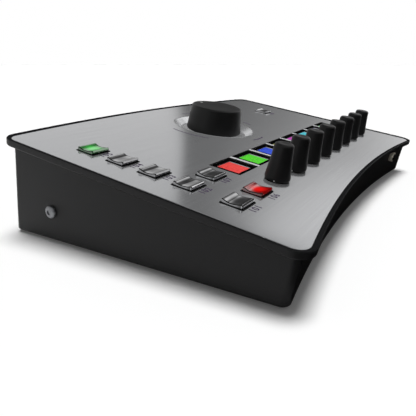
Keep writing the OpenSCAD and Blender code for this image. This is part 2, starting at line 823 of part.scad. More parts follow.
module ribbon_cable() {
  first = ribbon_path[0];
  last = ribbon_path[len(ribbon_path) - 1];
  plug = [plug_size, plug_size, ribbon_w + 2 * plug_over];
  color("#8f9296") on_panel([-ribbon_w / 2, 0, 0]) rotate([90, 0, 90]) {
    linear_extrude(ribbon_w) polygon(strip(ribbon_path, ribbon_t));
    translate([first.x - plug_size / 2, first.y - plug_size / 2, -plug_over]) cube(plug);
    translate([last.x - plug_size / 2, last.y - plug_size / 2, -plug_over]) cube(plug);
  }
}

module usb_socket() {
  mouth = socket_face_v - usb_mouth_d;
  color("#b9bbbf") on_panel([-socket_u, 0, -socket_drop]) {
    difference() {
      translate([-usb_w / 2, socket_board_v, -usb_h / 2]) cube([usb_w, socket_depth, usb_h]);
      translate([-usb_mouth_w / 2, mouth, -usb_mouth_h / 2])
        cube([usb_mouth_w, usb_mouth_d + cut, usb_mouth_h]);
    }
    translate([-usb_tongue_w / 2, mouth - cut, -usb_tongue_h / 2])
      cube([usb_tongue_w, usb_mouth_d, usb_tongue_h]);
  }
}

module power_inlet() {
  hole = socket_face_v - inlet_d;
  color("#161617") on_panel([socket_u, 0, -socket_drop]) {
    difference() {
      translate([-inlet_w / 2, socket_board_v, -inlet_h / 2]) cube([inlet_w, socket_depth, inlet_h]);
      translate([0, hole, 0]) along_v() cylinder(r = inlet_r, h = inlet_d + cut);
    }
    translate([0, hole - cut, 0]) along_v() cylinder(r = inlet_pin_r, h = inlet_d);
  }
}

module headphone_jack() {
  color("#3a3b3e") on_front_wall(jack_angle, jack_drop) difference() {
    union() {
      translate([0, -jack_rise, 0]) along_v() cylinder(r = jack_bush_r, h = jack_rise + wall_t + cut);
      translate([-jack_body_w / 2, wall_t + tight_gap, -jack_body_w / 2])
        cube([jack_body_w, jack_body_d, jack_body_w]);
    }
    translate([0, -jack_rise - cut, 0]) along_v() cylinder(r = jack_r, h = jack_hole_d + cut);
  }
}

module headphone_nut() {
  color("#b4b6ba") on_front_wall(jack_angle, jack_drop) translate([0, -jack_nut_t - tight_gap, 0]) along_v()
    difference() {
      cylinder(r = jack_nut_r, h = jack_nut_t);
      translate([0, 0, -cut]) cylinder(r = jack_bush_r + tight_gap, h = jack_nut_t + 2 * cut);
    }
}

case_tub();
base_plate();
rubber_feet();
base_screws();
side_screws();
top_panel();
dial_dish();
display_bezels();
key_frames();
key_switches();
encoder_bodies();
encoder_nuts();
dial_encoder();
dial_nut();
dial_shaft();
main_dial();
control_board();
panel_standoffs();
board_screws();
socket_board();
ribbon_cable();
usb_socket();
power_inlet();
headphone_jack();
headphone_nut();
for (i = [1:channels]) {
  display(i);
  knob(i);
  knob_shaft(i);
}
for (i = [1:keys]) {
  key_cap(i);
}
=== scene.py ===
import json
import math

import bmesh
import bpy
import numpy as np
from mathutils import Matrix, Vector
from mathutils.geometry import delaunay_2d_cdt


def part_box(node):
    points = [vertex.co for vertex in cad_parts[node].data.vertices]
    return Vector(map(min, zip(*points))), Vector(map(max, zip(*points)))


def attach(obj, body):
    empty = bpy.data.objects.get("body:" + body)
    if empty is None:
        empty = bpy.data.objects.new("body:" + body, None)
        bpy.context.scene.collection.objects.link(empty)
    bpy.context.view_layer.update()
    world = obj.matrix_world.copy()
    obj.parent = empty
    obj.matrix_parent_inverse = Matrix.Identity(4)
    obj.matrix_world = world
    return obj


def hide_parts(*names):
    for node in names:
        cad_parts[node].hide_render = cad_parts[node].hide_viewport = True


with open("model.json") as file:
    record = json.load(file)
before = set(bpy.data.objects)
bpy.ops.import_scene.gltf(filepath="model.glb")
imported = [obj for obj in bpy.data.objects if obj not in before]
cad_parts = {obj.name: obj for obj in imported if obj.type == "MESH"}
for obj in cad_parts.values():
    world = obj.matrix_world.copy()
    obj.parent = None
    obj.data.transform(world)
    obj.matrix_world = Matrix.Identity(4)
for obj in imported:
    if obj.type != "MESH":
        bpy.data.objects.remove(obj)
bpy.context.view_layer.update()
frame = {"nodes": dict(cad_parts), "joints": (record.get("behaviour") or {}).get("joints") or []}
scene = bpy.context.scene
mm = 0.001
print("frame loaded:", len(frame["nodes"]), "nodes")

# The panel's own axes, from the dial's joint: u to the right, v up the slope, w out of the face, all in mm
jointByName = {joint["name"]: joint for joint in frame["joints"]}
faceNormal = np.array(jointByName["dial_turn"]["axis"])
acrossAxis = np.array([1.0, 0.0, 0.0])
panelAxes = np.array([acrossAxis, np.cross(faceNormal, acrossAxis), faceNormal])
slopeCos, slopeSin = panelAxes[1, 1], panelAxes[1, 2]


# Vertices of a mesh, as rows of x, y, z
def meshPoints(mesh):
    flat = np.empty(len(mesh.vertices) * 3, np.float32)
    mesh.vertices.foreach_get("co", flat)
    return flat.reshape(-1, 3).astype(float)


# Vertices of a CAD node as (u, v, w), with w counted from the world's origin
def nodePoints(name):
    return meshPoints(frame["nodes"][name].data) / mm @ panelAxes.T


faceLevel = nodePoints("top_panel")[:, 2].max()


# Lowest and highest (u, v, w) of a CAD node, with w = 0 on the panel's face
def panelBox(name):
    points = nodePoints(name) - [0, 0, faceLevel]
    return points.min(0), points.max(0)


# (u, v) in the middle of a CAD node
def middleOf(name):
    low, high = panelBox(name)
    return (low + high)[:2] / 2


# From (u, v, w) in mm to the world in metres
def toWorld(points):
    return (np.asarray(points, float) + [0, 0, faceLevel]) @ panelAxes * mm


# From the world in mm to (u, v, w)
def toPanel(points):
    return np.asarray(points, float) @ panelAxes.T - [0, 0, faceLevel]


# sRGB hex to linear, by the standard curve
def linear(code):
    parts = np.array([int(code[i:i + 2], 16) for i in (1, 3, 5)]) / 255
    return tuple(np.where(parts <= 0.04045, parts / 12.92, ((parts + 0.055) / 1.055) ** 2.4)) + (1.0,)


# One node: settings are its properties or the values of its inputs, links are input: output socket
def addNode(tree, kind, settings=None, links=None):
    node = tree.nodes.new(kind)
    for key, value in (settings or {}).items():
        if isinstance(key, str) and hasattr(node, key):
            setattr(node, key, value)
        else:
            node.inputs[key].default_value = value
    for key, source in (links or {}).items():
        tree.links.new(source, node.inputs[key])
    return node


# An empty material, ready for its nodes
def newMaterial(name):
    material = bpy.data.materials.new(name)
    material.use_nodes = True
    tree = material.node_tree
    tree.nodes.clear()
    return material, tree


# Links a shader to a new output
def closeMaterial(tree, shader):
    addNode(tree, "ShaderNodeOutputMaterial", links={"Surface": shader.outputs[0]})


# A solid with one fine grain: noise of the grain's size in mm varies colour and roughness between two ends, and raises
# the surface by the bump's height in mm. Stretch draws the grain out along an axis, detail and fine say how much
# smaller noise is in it, and tones are the noise values that get the two colours. Grains are as coarse as they need to
# be to show.
def grainedFinish(name, dark, light, rough, metallic=0.0, grain=0.5, bump=0.01, stretch=(1, 1, 1), detail=3.0, fine=0.6,
                  tones=(0.3, 0.7), extra=None):
    material, tree = newMaterial(name)
    place = addNode(tree, "ShaderNodeTexCoord")
    spread = addNode(tree, "ShaderNodeMapping", {"Scale": stretch}, {"Vector": place.outputs["Object"]})
    noise = addNode(tree, "ShaderNodeTexNoise", {"Scale": 1 / (grain * mm), "Detail": detail, "Roughness": fine},
                    {"Vector": spread.outputs[0]})
    tone = addNode(tree, "ShaderNodeValToRGB", links={"Fac": noise.outputs["Fac"]})
    for stop, share, colour in zip(tone.color_ramp.elements, tones, (dark, light)):
        stop.position, stop.color = share, linear(colour)
    gloss = addNode(tree, "ShaderNodeMapRange",
                    {"From Min": 0.3, "From Max": 0.7, "To Min": rough[0], "To Max": rough[1]},
                    {"Value": noise.outputs["Fac"]})
    relief = addNode(tree, "ShaderNodeBump", {"Strength": 1.0, "Distance": bump * mm},
                     {"Height": noise.outputs["Fac"]})
    shader = addNode(tree, "ShaderNodeBsdfPrincipled", {"Metallic": metallic, **(extra or {})},
                     {"Base Color": tone.outputs["Color"], "Roughness": gloss.outputs["Result"],
                      "Normal": relief.outputs["Normal"]})
    closeMaterial(tree, shader)
    return material


# Quads between the points of a grid, which closes round along its columns, and along its rows too where asked
def gridQuads(rows, cols, wrapRows):
    index = np.arange(rows * cols).reshape(rows, cols)
    index = np.hstack([index, index[:, :1]])
    if wrapRows:
        index = np.vstack([index, index[:1]])
    return np.stack([index[:-1, :-1], index[:-1, 1:], index[1:, 1:], index[1:, :-1]], -1).reshape(-1, 4)


# An object of some data, put in the scene
def addObject(name, data):
    made = bpy.data.objects.new(name, data)
    scene.collection.objects.link(made)
    return made


# A piece from (u, v, w) points and faces: doubles merged, faces turned outwards, edges sharper than the angle kept, and
# normals that follow the larger faces, so that flat faces stay flat beside small rounds. Faces with zone 1 take the
# second material.
def addPiece(name, points, faces, material, body, slot, replaced=(), sharp=40, second=None, zones=None):
    mesh = bpy.data.meshes.new(name)
    mesh.from_pydata(toWorld(points).tolist(), [], [list(face) for face in faces])
    if second:
        mesh.polygons.foreach_set("material_index", np.asarray(zones, np.int32))
    work = bmesh.new()
    work.from_mesh(mesh)
    bmesh.ops.remove_doubles(work, verts=work.verts, dist=2e-6)
    bmesh.ops.dissolve_degenerate(work, edges=work.edges, dist=1e-6)
    bmesh.ops.recalc_face_normals(work, faces=work.faces)
    work.to_mesh(mesh)
    work.free()
    mesh.polygons.foreach_set("use_smooth", np.ones(len(mesh.polygons), bool))
    mesh.set_sharp_from_angle(angle=math.radians(sharp))
    mesh.materials.append(material)
    if second:
        mesh.materials.append(second)
    piece = addObject(name, mesh)
    smooth = piece.modifiers.new("faceWeight", "WEIGHTED_NORMAL")
    smooth.weight = 100
    smooth.keep_sharp = True
    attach(piece, body)
    if replaced:
        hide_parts(*replaced)
    return piece


# Several grids of rows x cols x 3 as one set of points and faces
def joinGrids(grids, wrapRows=False):
    points, faces, start = [], [], 0
    for grid in grids:
        rows, cols = grid.shape[:2]
        points.append(grid.reshape(-1, 3))
        faces.append(gridQuads(rows, cols, wrapRows) + start)
        start += rows * cols
    return np.vstack(points), np.vstack(faces)


# A quarter or other part of a circle as (x, y) points
def arcPoints(x, y, radius, fromTurn, toTurn, steps=6):
    turn = np.radians(np.linspace(fromTurn, toTurn, steps + 1))
    return np.stack([x + radius * np.cos(turn), y + radius * np.sin(turn)], 1)


# A profile of (radius, height) turned about an axis along w at (u, v)
def turnedGrid(profile, centre, around):
    profile = np.asarray(profile, float)
    turn = np.linspace(0, 2 * math.pi, around, endpoint=False)
    radius, height = profile[:, :1], profile[:, 1:]
    flat = np.zeros((1, around))
    return np.stack([centre[0] + radius * np.cos(turn), centre[1] + radius * np.sin(turn), height + flat], -1)


# A closed profile turned about the axis at (u, v), as points and faces
def turnedPiece(profile, centre, shape):
    return joinGrids([turnedGrid(profile, centre, shape["around"])], True)


# A rectangle with round corners, counter-clockwise from the right side: a quarter circle in each corner, and points
# along each straight side, the same number at every size
def roundRect(halfU, halfV, radius, steps=6, sidePoints=0):
    turn = np.radians(np.linspace(0, 90, steps + 1))
    corners = []
    for number, (signU, signV) in enumerate(((1, 1), (-1, 1), (-1, -1), (1, -1))):
        a = turn + number * math.pi / 2
        corners.append(np.stack([signU * (halfU - radius) + radius * np.cos(a),
                                 signV * (halfV - radius) + radius * np.sin(a)], 1))
    share = np.linspace(0, 1, sidePoints + 2)[1:-1, None]
    outline = []
    for corner, following in zip(corners, corners[1:] + corners[:1]):
        outline += [corner, corner[-1] + share * (following[0] - corner[-1])]
    return np.vstack(outline)


# Rectangles with round corners, one above another: each step is (half sizes, corner radius, w)
def stackedRects(centre, steps):
    loops = []
    for half, radius, w in steps:
        plan = centre + roundRect(*half, radius)
        loops.append(np.column_stack([plan, np.full(len(plan), w)]))
    return np.array(loops)


# Steps from stop to stop, with a count of equal steps between each two
def stepsBetween(stops, counts):
    spans = [np.linspace(start, end, count + 1)[:-1] for start, end, count in zip(stops, stops[1:], counts)]
    return np.concatenate(spans + [[stops[-1]]])


# Camera at the photo's place, in metres
cameraSet = dict(place=(-0.29111, -0.13791, 0.09839), towards=(0.8097, 0.4878, -0.3263), lens=36.39, sensor=36.0)
cameraData = bpy.data.cameras.new("camera")
cameraData.lens = cameraSet["lens"]
cameraData.sensor_width = cameraSet["sensor"]
cameraData.clip_start = 0.01
camera = addObject("camera", cameraData)
camera.location = cameraSet["place"]
camera.rotation_euler = Vector(cameraSet["towards"]).to_track_quat("-Z", "Y").to_euler()
scene.camera = camera
scene.view_settings.view_transform = "Standard"

# Studio: a white floor that runs to a white horizon, one broad soft light overhead, and a room that only glossy
# surfaces show. The room has four levels from the ground up, which blend into each other between two heights (the sine
# of the elevation). Each gives its tone by compass turn, in degrees from +X towards +Y: a white card, a dark gap and a
# fading wall. In the two lower levels the gap narrows as it rises.
studio = dict(floorHalf=20.0, ambient=0.14, floorGlow=0.05, horizonTop=0.02, horizonEnd=0.0,
              keyLevel=2.86, keySpread=24.0, keyFrom=(0.07, -0.045, 0.98),
              gapTurn=25.5, gapHeight=0.34, gapBelow=0.085, gapAbove=0.2, gapNarrowing=4.2,
              toLow=(0.12, 0.27), toMiddle=(0.478, 0.5), toHigh=(0.5, 0.66),
              groundTones=((-180, 0.85), (-130, 0.2), (-60, 0.03), (-16, 0.03), (-10, 0.25), (-6, 1.0), (4, 1.0),
                           (9, 0.95), (14, 0.52), (20, 0.18), (25, 0.06), (29.6, 0.06), (33, 0.2), (40, 0.33),
                           (70, 0.5), (110, 0.85), (180, 0.85)),
              lowTones=((-180, 0.85), (-130, 0.2), (-60, 0.03), (-16, 0.03), (-10, 0.25), (-6, 1.0), (4, 1.0),
                        (9, 0.86), (14, 0.5), (20, 0.24), (25, 0.12), (29.6, 0.1), (31, 0.76), (150, 0.9), (180, 0.85)),
              middleTones=((-180, 0.85), (-130, 0.6), (-60, 0.9), (-20, 1.0), (-4, 0.95), (1, 0.85), (5, 0.5),
                           (9, 0.18), (13, 0.1), (24, 0.1), (27, 0.16), (29.5, 0.5), (32, 0.74), (60, 0.8), (150, 0.85),
                           (180, 0.85)),
              highTones=((-180, 0.5), (-60, 0.8), (-20, 1.0), (2, 0.9), (6, 0.6), (12, 0.12), (25, 0.1), (30, 0.2),
                         (45, 0.25), (90, 0.2), (150, 0.4), (180, 0.5)),
              card=((-0.9, -0.9), (1.2, -0.9), (1.2, -0.07), (-0.14, -0.07), (-0.14, -0.1), (-0.9, -0.1)),
              cardHeight=0.0002)
world = bpy.data.worlds.new("studio")
scene.world = world
world.use_nodes = True
worldTree = world.node_tree
worldTree.nodes.clear()
rays = addNode(worldTree, "ShaderNodeLightPath")
bounced = addNode(worldTree, "ShaderNodeMath", {"operation": "MAXIMUM"},
                  {0: rays.outputs["Is Glossy Ray"], 1: rays.outputs["Is Transmission Ray"]})
towards = addNode(worldTree, "ShaderNodeTexCoord")
parts = addNode(worldTree, "ShaderNodeSeparateXYZ", links={0: towards.outputs["Generated"]})
turn = addNode(worldTree, "ShaderNodeMath", {"operation": "ARCTAN2"},
               {0: parts.outputs["Y"], 1: parts.outputs["X"]})
gapTurn = math.radians(studio["gapTurn"])
offGap = addNode(worldTree, "ShaderNodeMath", {"operation": "SUBTRACT", 1: gapTurn}, {0: turn.outputs[0]})
squeeze = addNode(worldTree, "ShaderNodeMapRange",
                  {"From Min": studio["gapHeight"] - studio["gapBelow"],
                   "From Max": studio["gapHeight"] + studio["gapAbove"],
                   "To Min": 1 - studio["gapBelow"] * studio["gapNarrowing"],
                   "To Max": 1 + studio["gapAbove"] * studio["gapNarrowing"]},
                  {"Value": parts.outputs["Z"]})
bent = addNode(worldTree, "ShaderNodeMath", {"operation": "MULTIPLY_ADD", 2: gapTurn},
               {0: offGap.outputs[0], 1: squeeze.outputs["Result"]})
levels = []
for tones, angle in ((studio["groundTones"], bent), (studio["lowTones"], bent), (studio["middleTones"], turn),
                     (studio["highTones"], turn)):
    share = addNode(worldTree, "ShaderNodeMapRange", {"From Min": -math.pi, "From Max": math.pi},
                    {"Value": angle.outputs[0]})
    ramp = addNode(worldTree, "ShaderNodeValToRGB", links={"Fac": share.outputs["Result"]})
    stops = ramp.color_ramp.elements
    for degrees, tone in tones[1:-1]:
        stops.new((degrees + 180) / 360)
    for stop, (degrees, tone) in zip(stops, tones):
        stop.position = (degrees + 180) / 360
        stop.color = (tone, tone, tone, 1)
    levels.append(ramp.outputs["Color"])
room = levels[0]
for level, (start, end) in zip(levels[1:], (studio["toLow"], studio["toMiddle"], studio["toHigh"])):
    height = addNode(worldTree, "ShaderNodeMapRange", {"From Min": start, "From Max": end},
                     {"Value": parts.outputs["Z"]})
    blend = addNode(worldTree, "ShaderNodeMix", {"data_type": "RGBA"}, {0: height.outputs["Result"], 6: room, 7: level})
    room = blend.outputs[2]
low = addNode(worldTree, "ShaderNodeMapRange",
              {"From Min": studio["horizonEnd"], "From Max": studio["horizonTop"], "To Min": 1.0, "To Max": 0.0},
              {"Value": parts.outputs["Z"]})
white = addNode(worldTree, "ShaderNodeMath", {"operation": "MAXIMUM"},
                {0: low.outputs["Result"], 1: rays.outputs["Is Camera Ray"]})
backdrop = addNode(worldTree, "ShaderNodeMix", {"data_type": "RGBA", 7: (1, 1, 1, 1)},
                   {0: white.outputs[0], 6: room})
shown = addNode(worldTree, "ShaderNodeMath", {"operation": "MAXIMUM"},
                {0: bounced.outputs[0], 1: rays.outputs["Is Camera Ray"]})
level = studio["ambient"]
sky = addNode(worldTree, "ShaderNodeMix", {"data_type": "RGBA", 6: (level, level, level, 1)},
              {0: shown.outputs[0], 7: backdrop.outputs[2]})
skyShader = addNode(worldTree, "ShaderNodeBackground", {"Strength": 1.0}, {"Color": sky.outputs[2]})
addNode(worldTree, "ShaderNodeOutputWorld", links={"Surface": skyShader.outputs[0]})

# Floor: matt white paper that glows a little, so that it stays white in the distance
floorMaterial, floorTree = newMaterial("matt_studio_paper")
floorRays = addNode(floorTree, "ShaderNodeLightPath")
floorShown = addNode(floorTree, "ShaderNodeMath", {"operation": "MAXIMUM"},
                     {0: floorRays.outputs["Is Camera Ray"], 1: floorRays.outputs["Is Glossy Ray"]})
floorGlow = addNode(floorTree, "ShaderNodeMath", {"operation": "MULTIPLY", 1: studio["floorGlow"]},
                    {0: floorShown.outputs[0]})
floorShader = addNode(floorTree, "ShaderNodeBsdfPrincipled",
                      {"Base Color": linear("#f7f7f7"), "Roughness": 0.9, "Specular IOR Level": 0.0,
                       "Emission Color": linear("#ffffff")}, {"Emission Strength": floorGlow.outputs[0]})
closeMaterial(floorTree, floorShader)
floorMesh = bpy.data.meshes.new("floor")
edge = studio["floorHalf"]
floorMesh.from_pydata([(-edge, -edge, 0), (edge, -edge, 0), (edge, edge, 0), (-edge, edge, 0)], [],
                      [(0, 1, 2, 3)])
floorMesh.materials.append(floorMaterial)
floor = addObject("floor", floorMesh)

# A dark card on the floor before the front wall, which only glossy surfaces see, keeps that wall black
flagMaterial, flagTree = newMaterial("matt_black_card")
closeMaterial(flagTree, addNode(flagTree, "ShaderNodeBsdfPrincipled",
                                {"Base Color": linear("#0a0a0a"), "Roughness": 0.9, "Specular IOR Level": 0.0}))
flagMesh = bpy.data.meshes.new("floor_card")
flagMesh.from_pydata([(x, y, studio["cardHeight"]) for x, y in studio["card"]], [],
                     [tuple(range(len(studio["card"])))])
flagMesh.materials.append(flagMaterial)
flag = addObject("floor_card", flagMesh)
flag.visible_camera = flag.visible_diffuse = flag.visible_shadow = flag.visible_transmission = False

# The soft light: a sun with a wide disc, which glossy surfaces don't show
keyLamp = bpy.data.lights.new("overheadSoftbox", "SUN")
keyLamp.energy = studio["keyLevel"]
keyLamp.angle = math.radians(studio["keySpread"])
keyLight = addObject("overheadSoftbox", keyLamp)
keyLight.rotation_euler = (-Vector(studio["keyFrom"])).to_track_quat("-Z", "Y").to_euler()
keyLight.visible_glossy = False
print("camera and studio set")

# Case: black ABS, moulded with a fine spark-eroded texture that gives a soft sheen; its lip is duller and less black
caseFinish = grainedFinish("abs_moulded_satin", "#0f0f10", "#161617", (0.42, 0.52), grain=0.6, bump=0.02,
                           extra={"Specular IOR Level": 0.2})
lipFinish = grainedFinish("abs_moulded_matt", "#19191a", "#212122", (0.7, 0.8), grain=0.6, bump=0.02,
                          extra={"Specular IOR Level": 0.0})
caseShape = dict(frontRadius=975.0, depth=181.9, rimCorner=9.5, rimHeight=3.6, rimTopRound=0.8, rimLowRound=1.0,
                 lipWidth=2.5, lipRound=0.3, lipProud=0.6, overhang=4.5, wallCorner=4.0, wallThick=2.5, footRound=1.5,
                 seatDepth=2.0, socketU=(-14.0, 14.0), socketWide=(12.2, 9.2), socketHigh=11.1, socketDrop=36.0,
                 frontSteps=96, cornerSteps=12, sideSteps=24, backSteps=(23, 3, 4, 3, 23), wallSteps=(7, 4, 3),
                 lipRows=(3, 8))
caseHigh = panelBox("case_tub")[1]
caseHalf = caseHigh[0]
arcCentre = caseHigh[1] - caseShape["frontRadius"] - caseShape["depth"]
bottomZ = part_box("case_tub")[0].z / mm
holeEdges = np.sort(np.concatenate([
    np.array(caseShape["socketU"]) - np.array(caseShape["socketWide"]) / 2,
    np.array(caseShape["socketU"]) + np.array(caseShape["socketWide"]) / 2]))[::-1]
wallBackRadius = caseShape["frontRadius"] + caseShape["depth"] - caseShape["overhang"]
wallBackTurn = math.asin((caseHalf - caseShape["overhang"] - caseShape["wallCorner"])
                         / (wallBackRadius - caseShape["wallCorner"]))
holeSteps = np.arcsin(holeEdges / wallBackRadius) / wallBackTurn
backSteps = stepsBetween((1, *holeSteps, -1), caseShape["backSteps"])


# Plan of the case at an inset from its rim, in (u, v): a front and a back arc about one centre, straight ends, and a
# round in each corner. Every plan has the same number of points, so plans stack into a grid.
def casePlan(inset, cornerR):
    half = caseHalf - inset
    near = caseShape["frontRadius"] + inset
    far = caseShape["frontRadius"] + caseShape["depth"] - inset
    cornerU = half - cornerR
    frontTurn = math.asin(cornerU / (near + cornerR))
    backTurn = math.asin(cornerU / (far - cornerR))
    frontV = (near + cornerR) * math.cos(frontTurn)
    backV = (far - cornerR) * math.cos(backTurn)
    front = frontTurn * np.linspace(-1, 1, caseShape["frontSteps"] + 1)[:-1]
    back = backTurn * backSteps[:-1]
    side = np.linspace(0, 1, caseShape["sideSteps"] + 1)[:-1, None]
    frontDegrees, backDegrees = math.degrees(frontTurn), math.degrees(backTurn)
    steps = caseShape["cornerSteps"]
    plan = np.vstack([
        np.stack([near * np.sin(front), near * np.cos(front)], 1),
        arcPoints(cornerU, frontV, cornerR, -90 - frontDegrees, 0, steps)[:-1],
        np.hstack([half + 0 * side, frontV + side * (backV - frontV)]),
        arcPoints(cornerU, backV, cornerR, 0, 90 - backDegrees, steps)[:-1],
        np.stack([far * np.sin(back), far * np.cos(back)], 1),
        arcPoints(-cornerU, backV, cornerR, 90 + backDegrees, 180, steps)[:-1],
        np.hstack([-half + 0 * side, backV - side * (backV - frontV)]),
        arcPoints(-cornerU, frontV, cornerR, 180, 270 + frontDegrees, steps)[:-1]])
    return plan + [0, arcCentre]


# One row of the case's wall: the plan at an inset, at a height between w below the face and a rise above the case's
# bottom, which lies level while the face slopes
def caseRow(inset, w, rise, share):
    if inset <= caseShape["lipWidth"]:
        cornerR = caseShape["rimCorner"] - inset
    else:
        cornerR = caseShape["wallCorner"] + caseShape["overhang"] - inset
    plan = casePlan(inset, cornerR)
    low = (bottomZ + rise - plan[:, 1] * slopeSin) / slopeCos - faceLevel
    return np.column_stack([plan, (1 - share) * w + share * low])


# The shell's section goes from the rim's top over its outside, under it, down the wall, under the wall and back up
# inside to the seat of the panel
rimH, inset, wallIn = caseShape["rimHeight"], caseShape["overhang"], caseShape["overhang"] + caseShape["wallThick"]
quarter = np.radians(np.linspace(0, 90, 7))
topR, lowR, footR, lipR = (caseShape[key] for key in ("rimTopRound", "rimLowRound", "footRound", "lipRound"))
backLow = (bottomZ + footR - (caseHigh[1] - inset) * slopeSin) / slopeCos - faceLevel
holeShares = (-caseShape["socketDrop"] + np.array([0.5, -0.5]) * caseShape["socketHigh"] + rimH) / (backLow + rimH)
wallShares = stepsBetween((0, *holeShares, 1), caseShape["wallSteps"])
section = [(topR - topR * math.sin(a), caseShape["lipProud"] - topR + topR * math.cos(a), 0, 0) for a in quarter]
section += [(lowR - lowR * math.cos(a), -rimH + lowR - lowR * math.sin(a), 0, 0) for a in quarter]
wallStart = len(section)
section += [(inset, -rimH, footR, share) for share in wallShares]
section += [(inset + footR - footR * math.cos(a), 0, footR - footR * math.sin(a), 1) for a in quarter[1:]]
section += [(wallIn, 0, 0, 1)]
innerStart = len(section)
section += [(wallIn, -rimH, footR, share) for share in wallShares[::-1]]
section += [(wallIn, -caseShape["seatDepth"], 0, 0), (caseShape["lipWidth"], -caseShape["seatDepth"], 0, 0)]
section += [(caseShape["lipWidth"] - lipR + lipR * math.cos(a), -lipR + lipR * math.sin(a), 0, 0) for a in quarter]
shell = np.array([caseRow(*row) for row in section])
rows, cols = shell.shape[:2]
shellQuads = gridQuads(rows, cols, True).reshape(rows, cols, 4)
kept = np.ones((rows, cols), bool)
# The two socket holes: faces left out of both sides of the back wall, and the hole's walls between them
backStart = caseShape["frontSteps"] + 2 * caseShape["cornerSteps"] + caseShape["sideSteps"]
holeCols = backStart + np.cumsum(caseShape["backSteps"])
holeRow = np.cumsum(caseShape["wallSteps"])
bridges = []
for firstCol, lastCol in (holeCols[:2], holeCols[2:4]):
    outRows = np.arange(wallStart + holeRow[0], wallStart + holeRow[1] + 1)
    inRows = innerStart + len(wallShares) - 1 - np.arange(holeRow[0], holeRow[1] + 1)
    kept[outRows[0]:outRows[-1], firstCol:lastCol] = False
    kept[inRows[-1]:inRows[0], firstCol:lastCol] = False
    across = np.arange(firstCol, lastCol + 1)
    loops = [np.concatenate([side[0] * cols + across[:-1], side[:-1] * cols + lastCol,
                             side[-1] * cols + across[:0:-1], side[:0:-1] * cols + firstCol])
             for side in (outRows, inRows)]
    bridges.append(np.stack([loops[0], np.roll(loops[0], -1), np.roll(loops[1], -1), loops[1]], 1))
shellFaces = np.vstack([shellQuads[kept], *bridges])
rowOf = np.repeat(np.arange(rows), cols).reshape(rows, cols)[kept]
onTop = (rowOf < caseShape["lipRows"][0]) | (rowOf >= rows - caseShape["lipRows"][1])
onLip = np.concatenate([onTop, np.zeros(len(shellFaces) - len(rowOf), bool)])
addPiece("case_shell", shell.reshape(-1, 3), shellFaces, caseFinish, "case", "case_plastic", ("case_tub",),
         second=lipFinish, zones=onLip)
print("case shell made:", len(shellFaces), "faces")

# Panel: aluminium sheet, brushed from left to right and clear anodised: fine long lines and a soft sheen. The lines are
# coarser than real ones, so that they show.
panelShape = dict(thick=2.0, edgeGap=0.1, cornerR=6.9, edgeRound=0.25, dishHole=31.7, bushHole=3.6,
                  window=(24.4, 20.6), windowR=0.8, keyHole=(14.4, 13.0), keyHoleR=1.1)
panelFinish = grainedFinish("aluminium_brushed_anodised", "#a9aaac", "#b7b8ba", (0.11, 0.15), metallic=0.76, grain=0.4,
                            bump=0.0004, stretch=(0.006, 1, 1), detail=2.0, fine=0.5, tones=(0.25, 0.75))

# Where the controls stand, from their CAD nodes
channelNames = range(1, 9)
knobAt = {i: middleOf(f"knob_{i}") for i in channelNames}
displayAt = {i: middleOf(f"display_{i}") for i in channelNames}
keyAt = {i: middleOf(f"key_cap_{i}") for i in channelNames}
dialAt = middleOf("main_dial")
ring = np.radians(np.linspace(0, 360, 96, endpoint=False))
circle = np.stack([np.cos(ring), np.sin(ring)], 1)


# The panel's edges at a share of the way down its rounded edge, with their depths: its own outline and each cut-out,
# grown by a quarter circle; windows keep a sharp edge
def panelLoops(share):
    shape = panelShape
    a = share * math.pi / 2
    setback, depth = shape["edgeRound"] * (1 - math.sin(a)), shape["edgeRound"] * (math.cos(a) - 1)
    loops = [(casePlan(caseShape["lipWidth"] + shape["edgeGap"] + setback, shape["cornerR"] - setback), depth),
             (dialAt + (shape["dishHole"] + setback) * circle, depth)]
    for i in channelNames:
        loops += [(displayAt[i] + roundRect(*np.array(shape["window"]) / 2, shape["windowR"]), depth),
                  (knobAt[i] + (shape["bushHole"] + setback) * circle[::3], depth),
                  (keyAt[i] + roundRect(*np.array(shape["keyHole"]) / 2 + setback, shape["keyHoleR"] + setback), depth)]
    return loops


# Flat faces over loops, holes left open, by a constrained triangulation
def flatFaces(loops):
    points = np.vstack(loops)
    ends = np.cumsum([len(loop) for loop in loops])
    faces = [list(range(end - len(loop), end)) for loop, end in zip(loops, ends)]
    made = delaunay_2d_cdt([Vector(point) for point in points], [], faces, 2, 1e-7)
    return np.array([point[:] for point in made[0]]), np.array(made[2])


edgeLoops = [panelLoops(share) for share in (0, 1 / 3, 2 / 3, 1)]
edgeLoops.append([(loop, -panelShape["thick"]) for loop, _ in edgeLoops[-1]])
edgeGrids = [np.array([np.column_stack([loop, np.full(len(loop), w)]) for loop, w in edge]) for edge in zip(*edgeLoops)]
points, faces = joinGrids(edgeGrids)
panelFaces = faces.tolist()
for loops in (edgeLoops[0], edgeLoops[-1]):
    flat, triangles = flatFaces([loop for loop, _ in loops])
    panelFaces += (triangles + len(points)).tolist()
    points = np.vstack([points, np.column_stack([flat, np.full(len(flat), loops[0][1])])])
addPiece("brushed_panel", points, panelFaces, panelFinish, "case", "panel_aluminium", ("top_panel",), sharp=50)
print("panel made:", len(panelFaces), "faces")

# Dial dish: aluminium, spun and polished: a bright, slightly blurred mirror; its rim is brushed like the panel
dishShape = dict(boreR=4.6, floorR=25.0, drop=3.7, footR=2.0, slope=36.0, rimR=31.2, edgeR=0.6, outR=31.6, outEdge=0.15,
                 flangeR=34.6, seat=2.0, thick=1.3, around=144, rimInner=0.1, rimLow=0.2)
dishFinish = grainedFinish("aluminium_spun_polished", "#d6d7d9", "#e2e3e5", (0.26, 0.3), metallic=1.0, grain=3.0,
                           bump=0.0003)


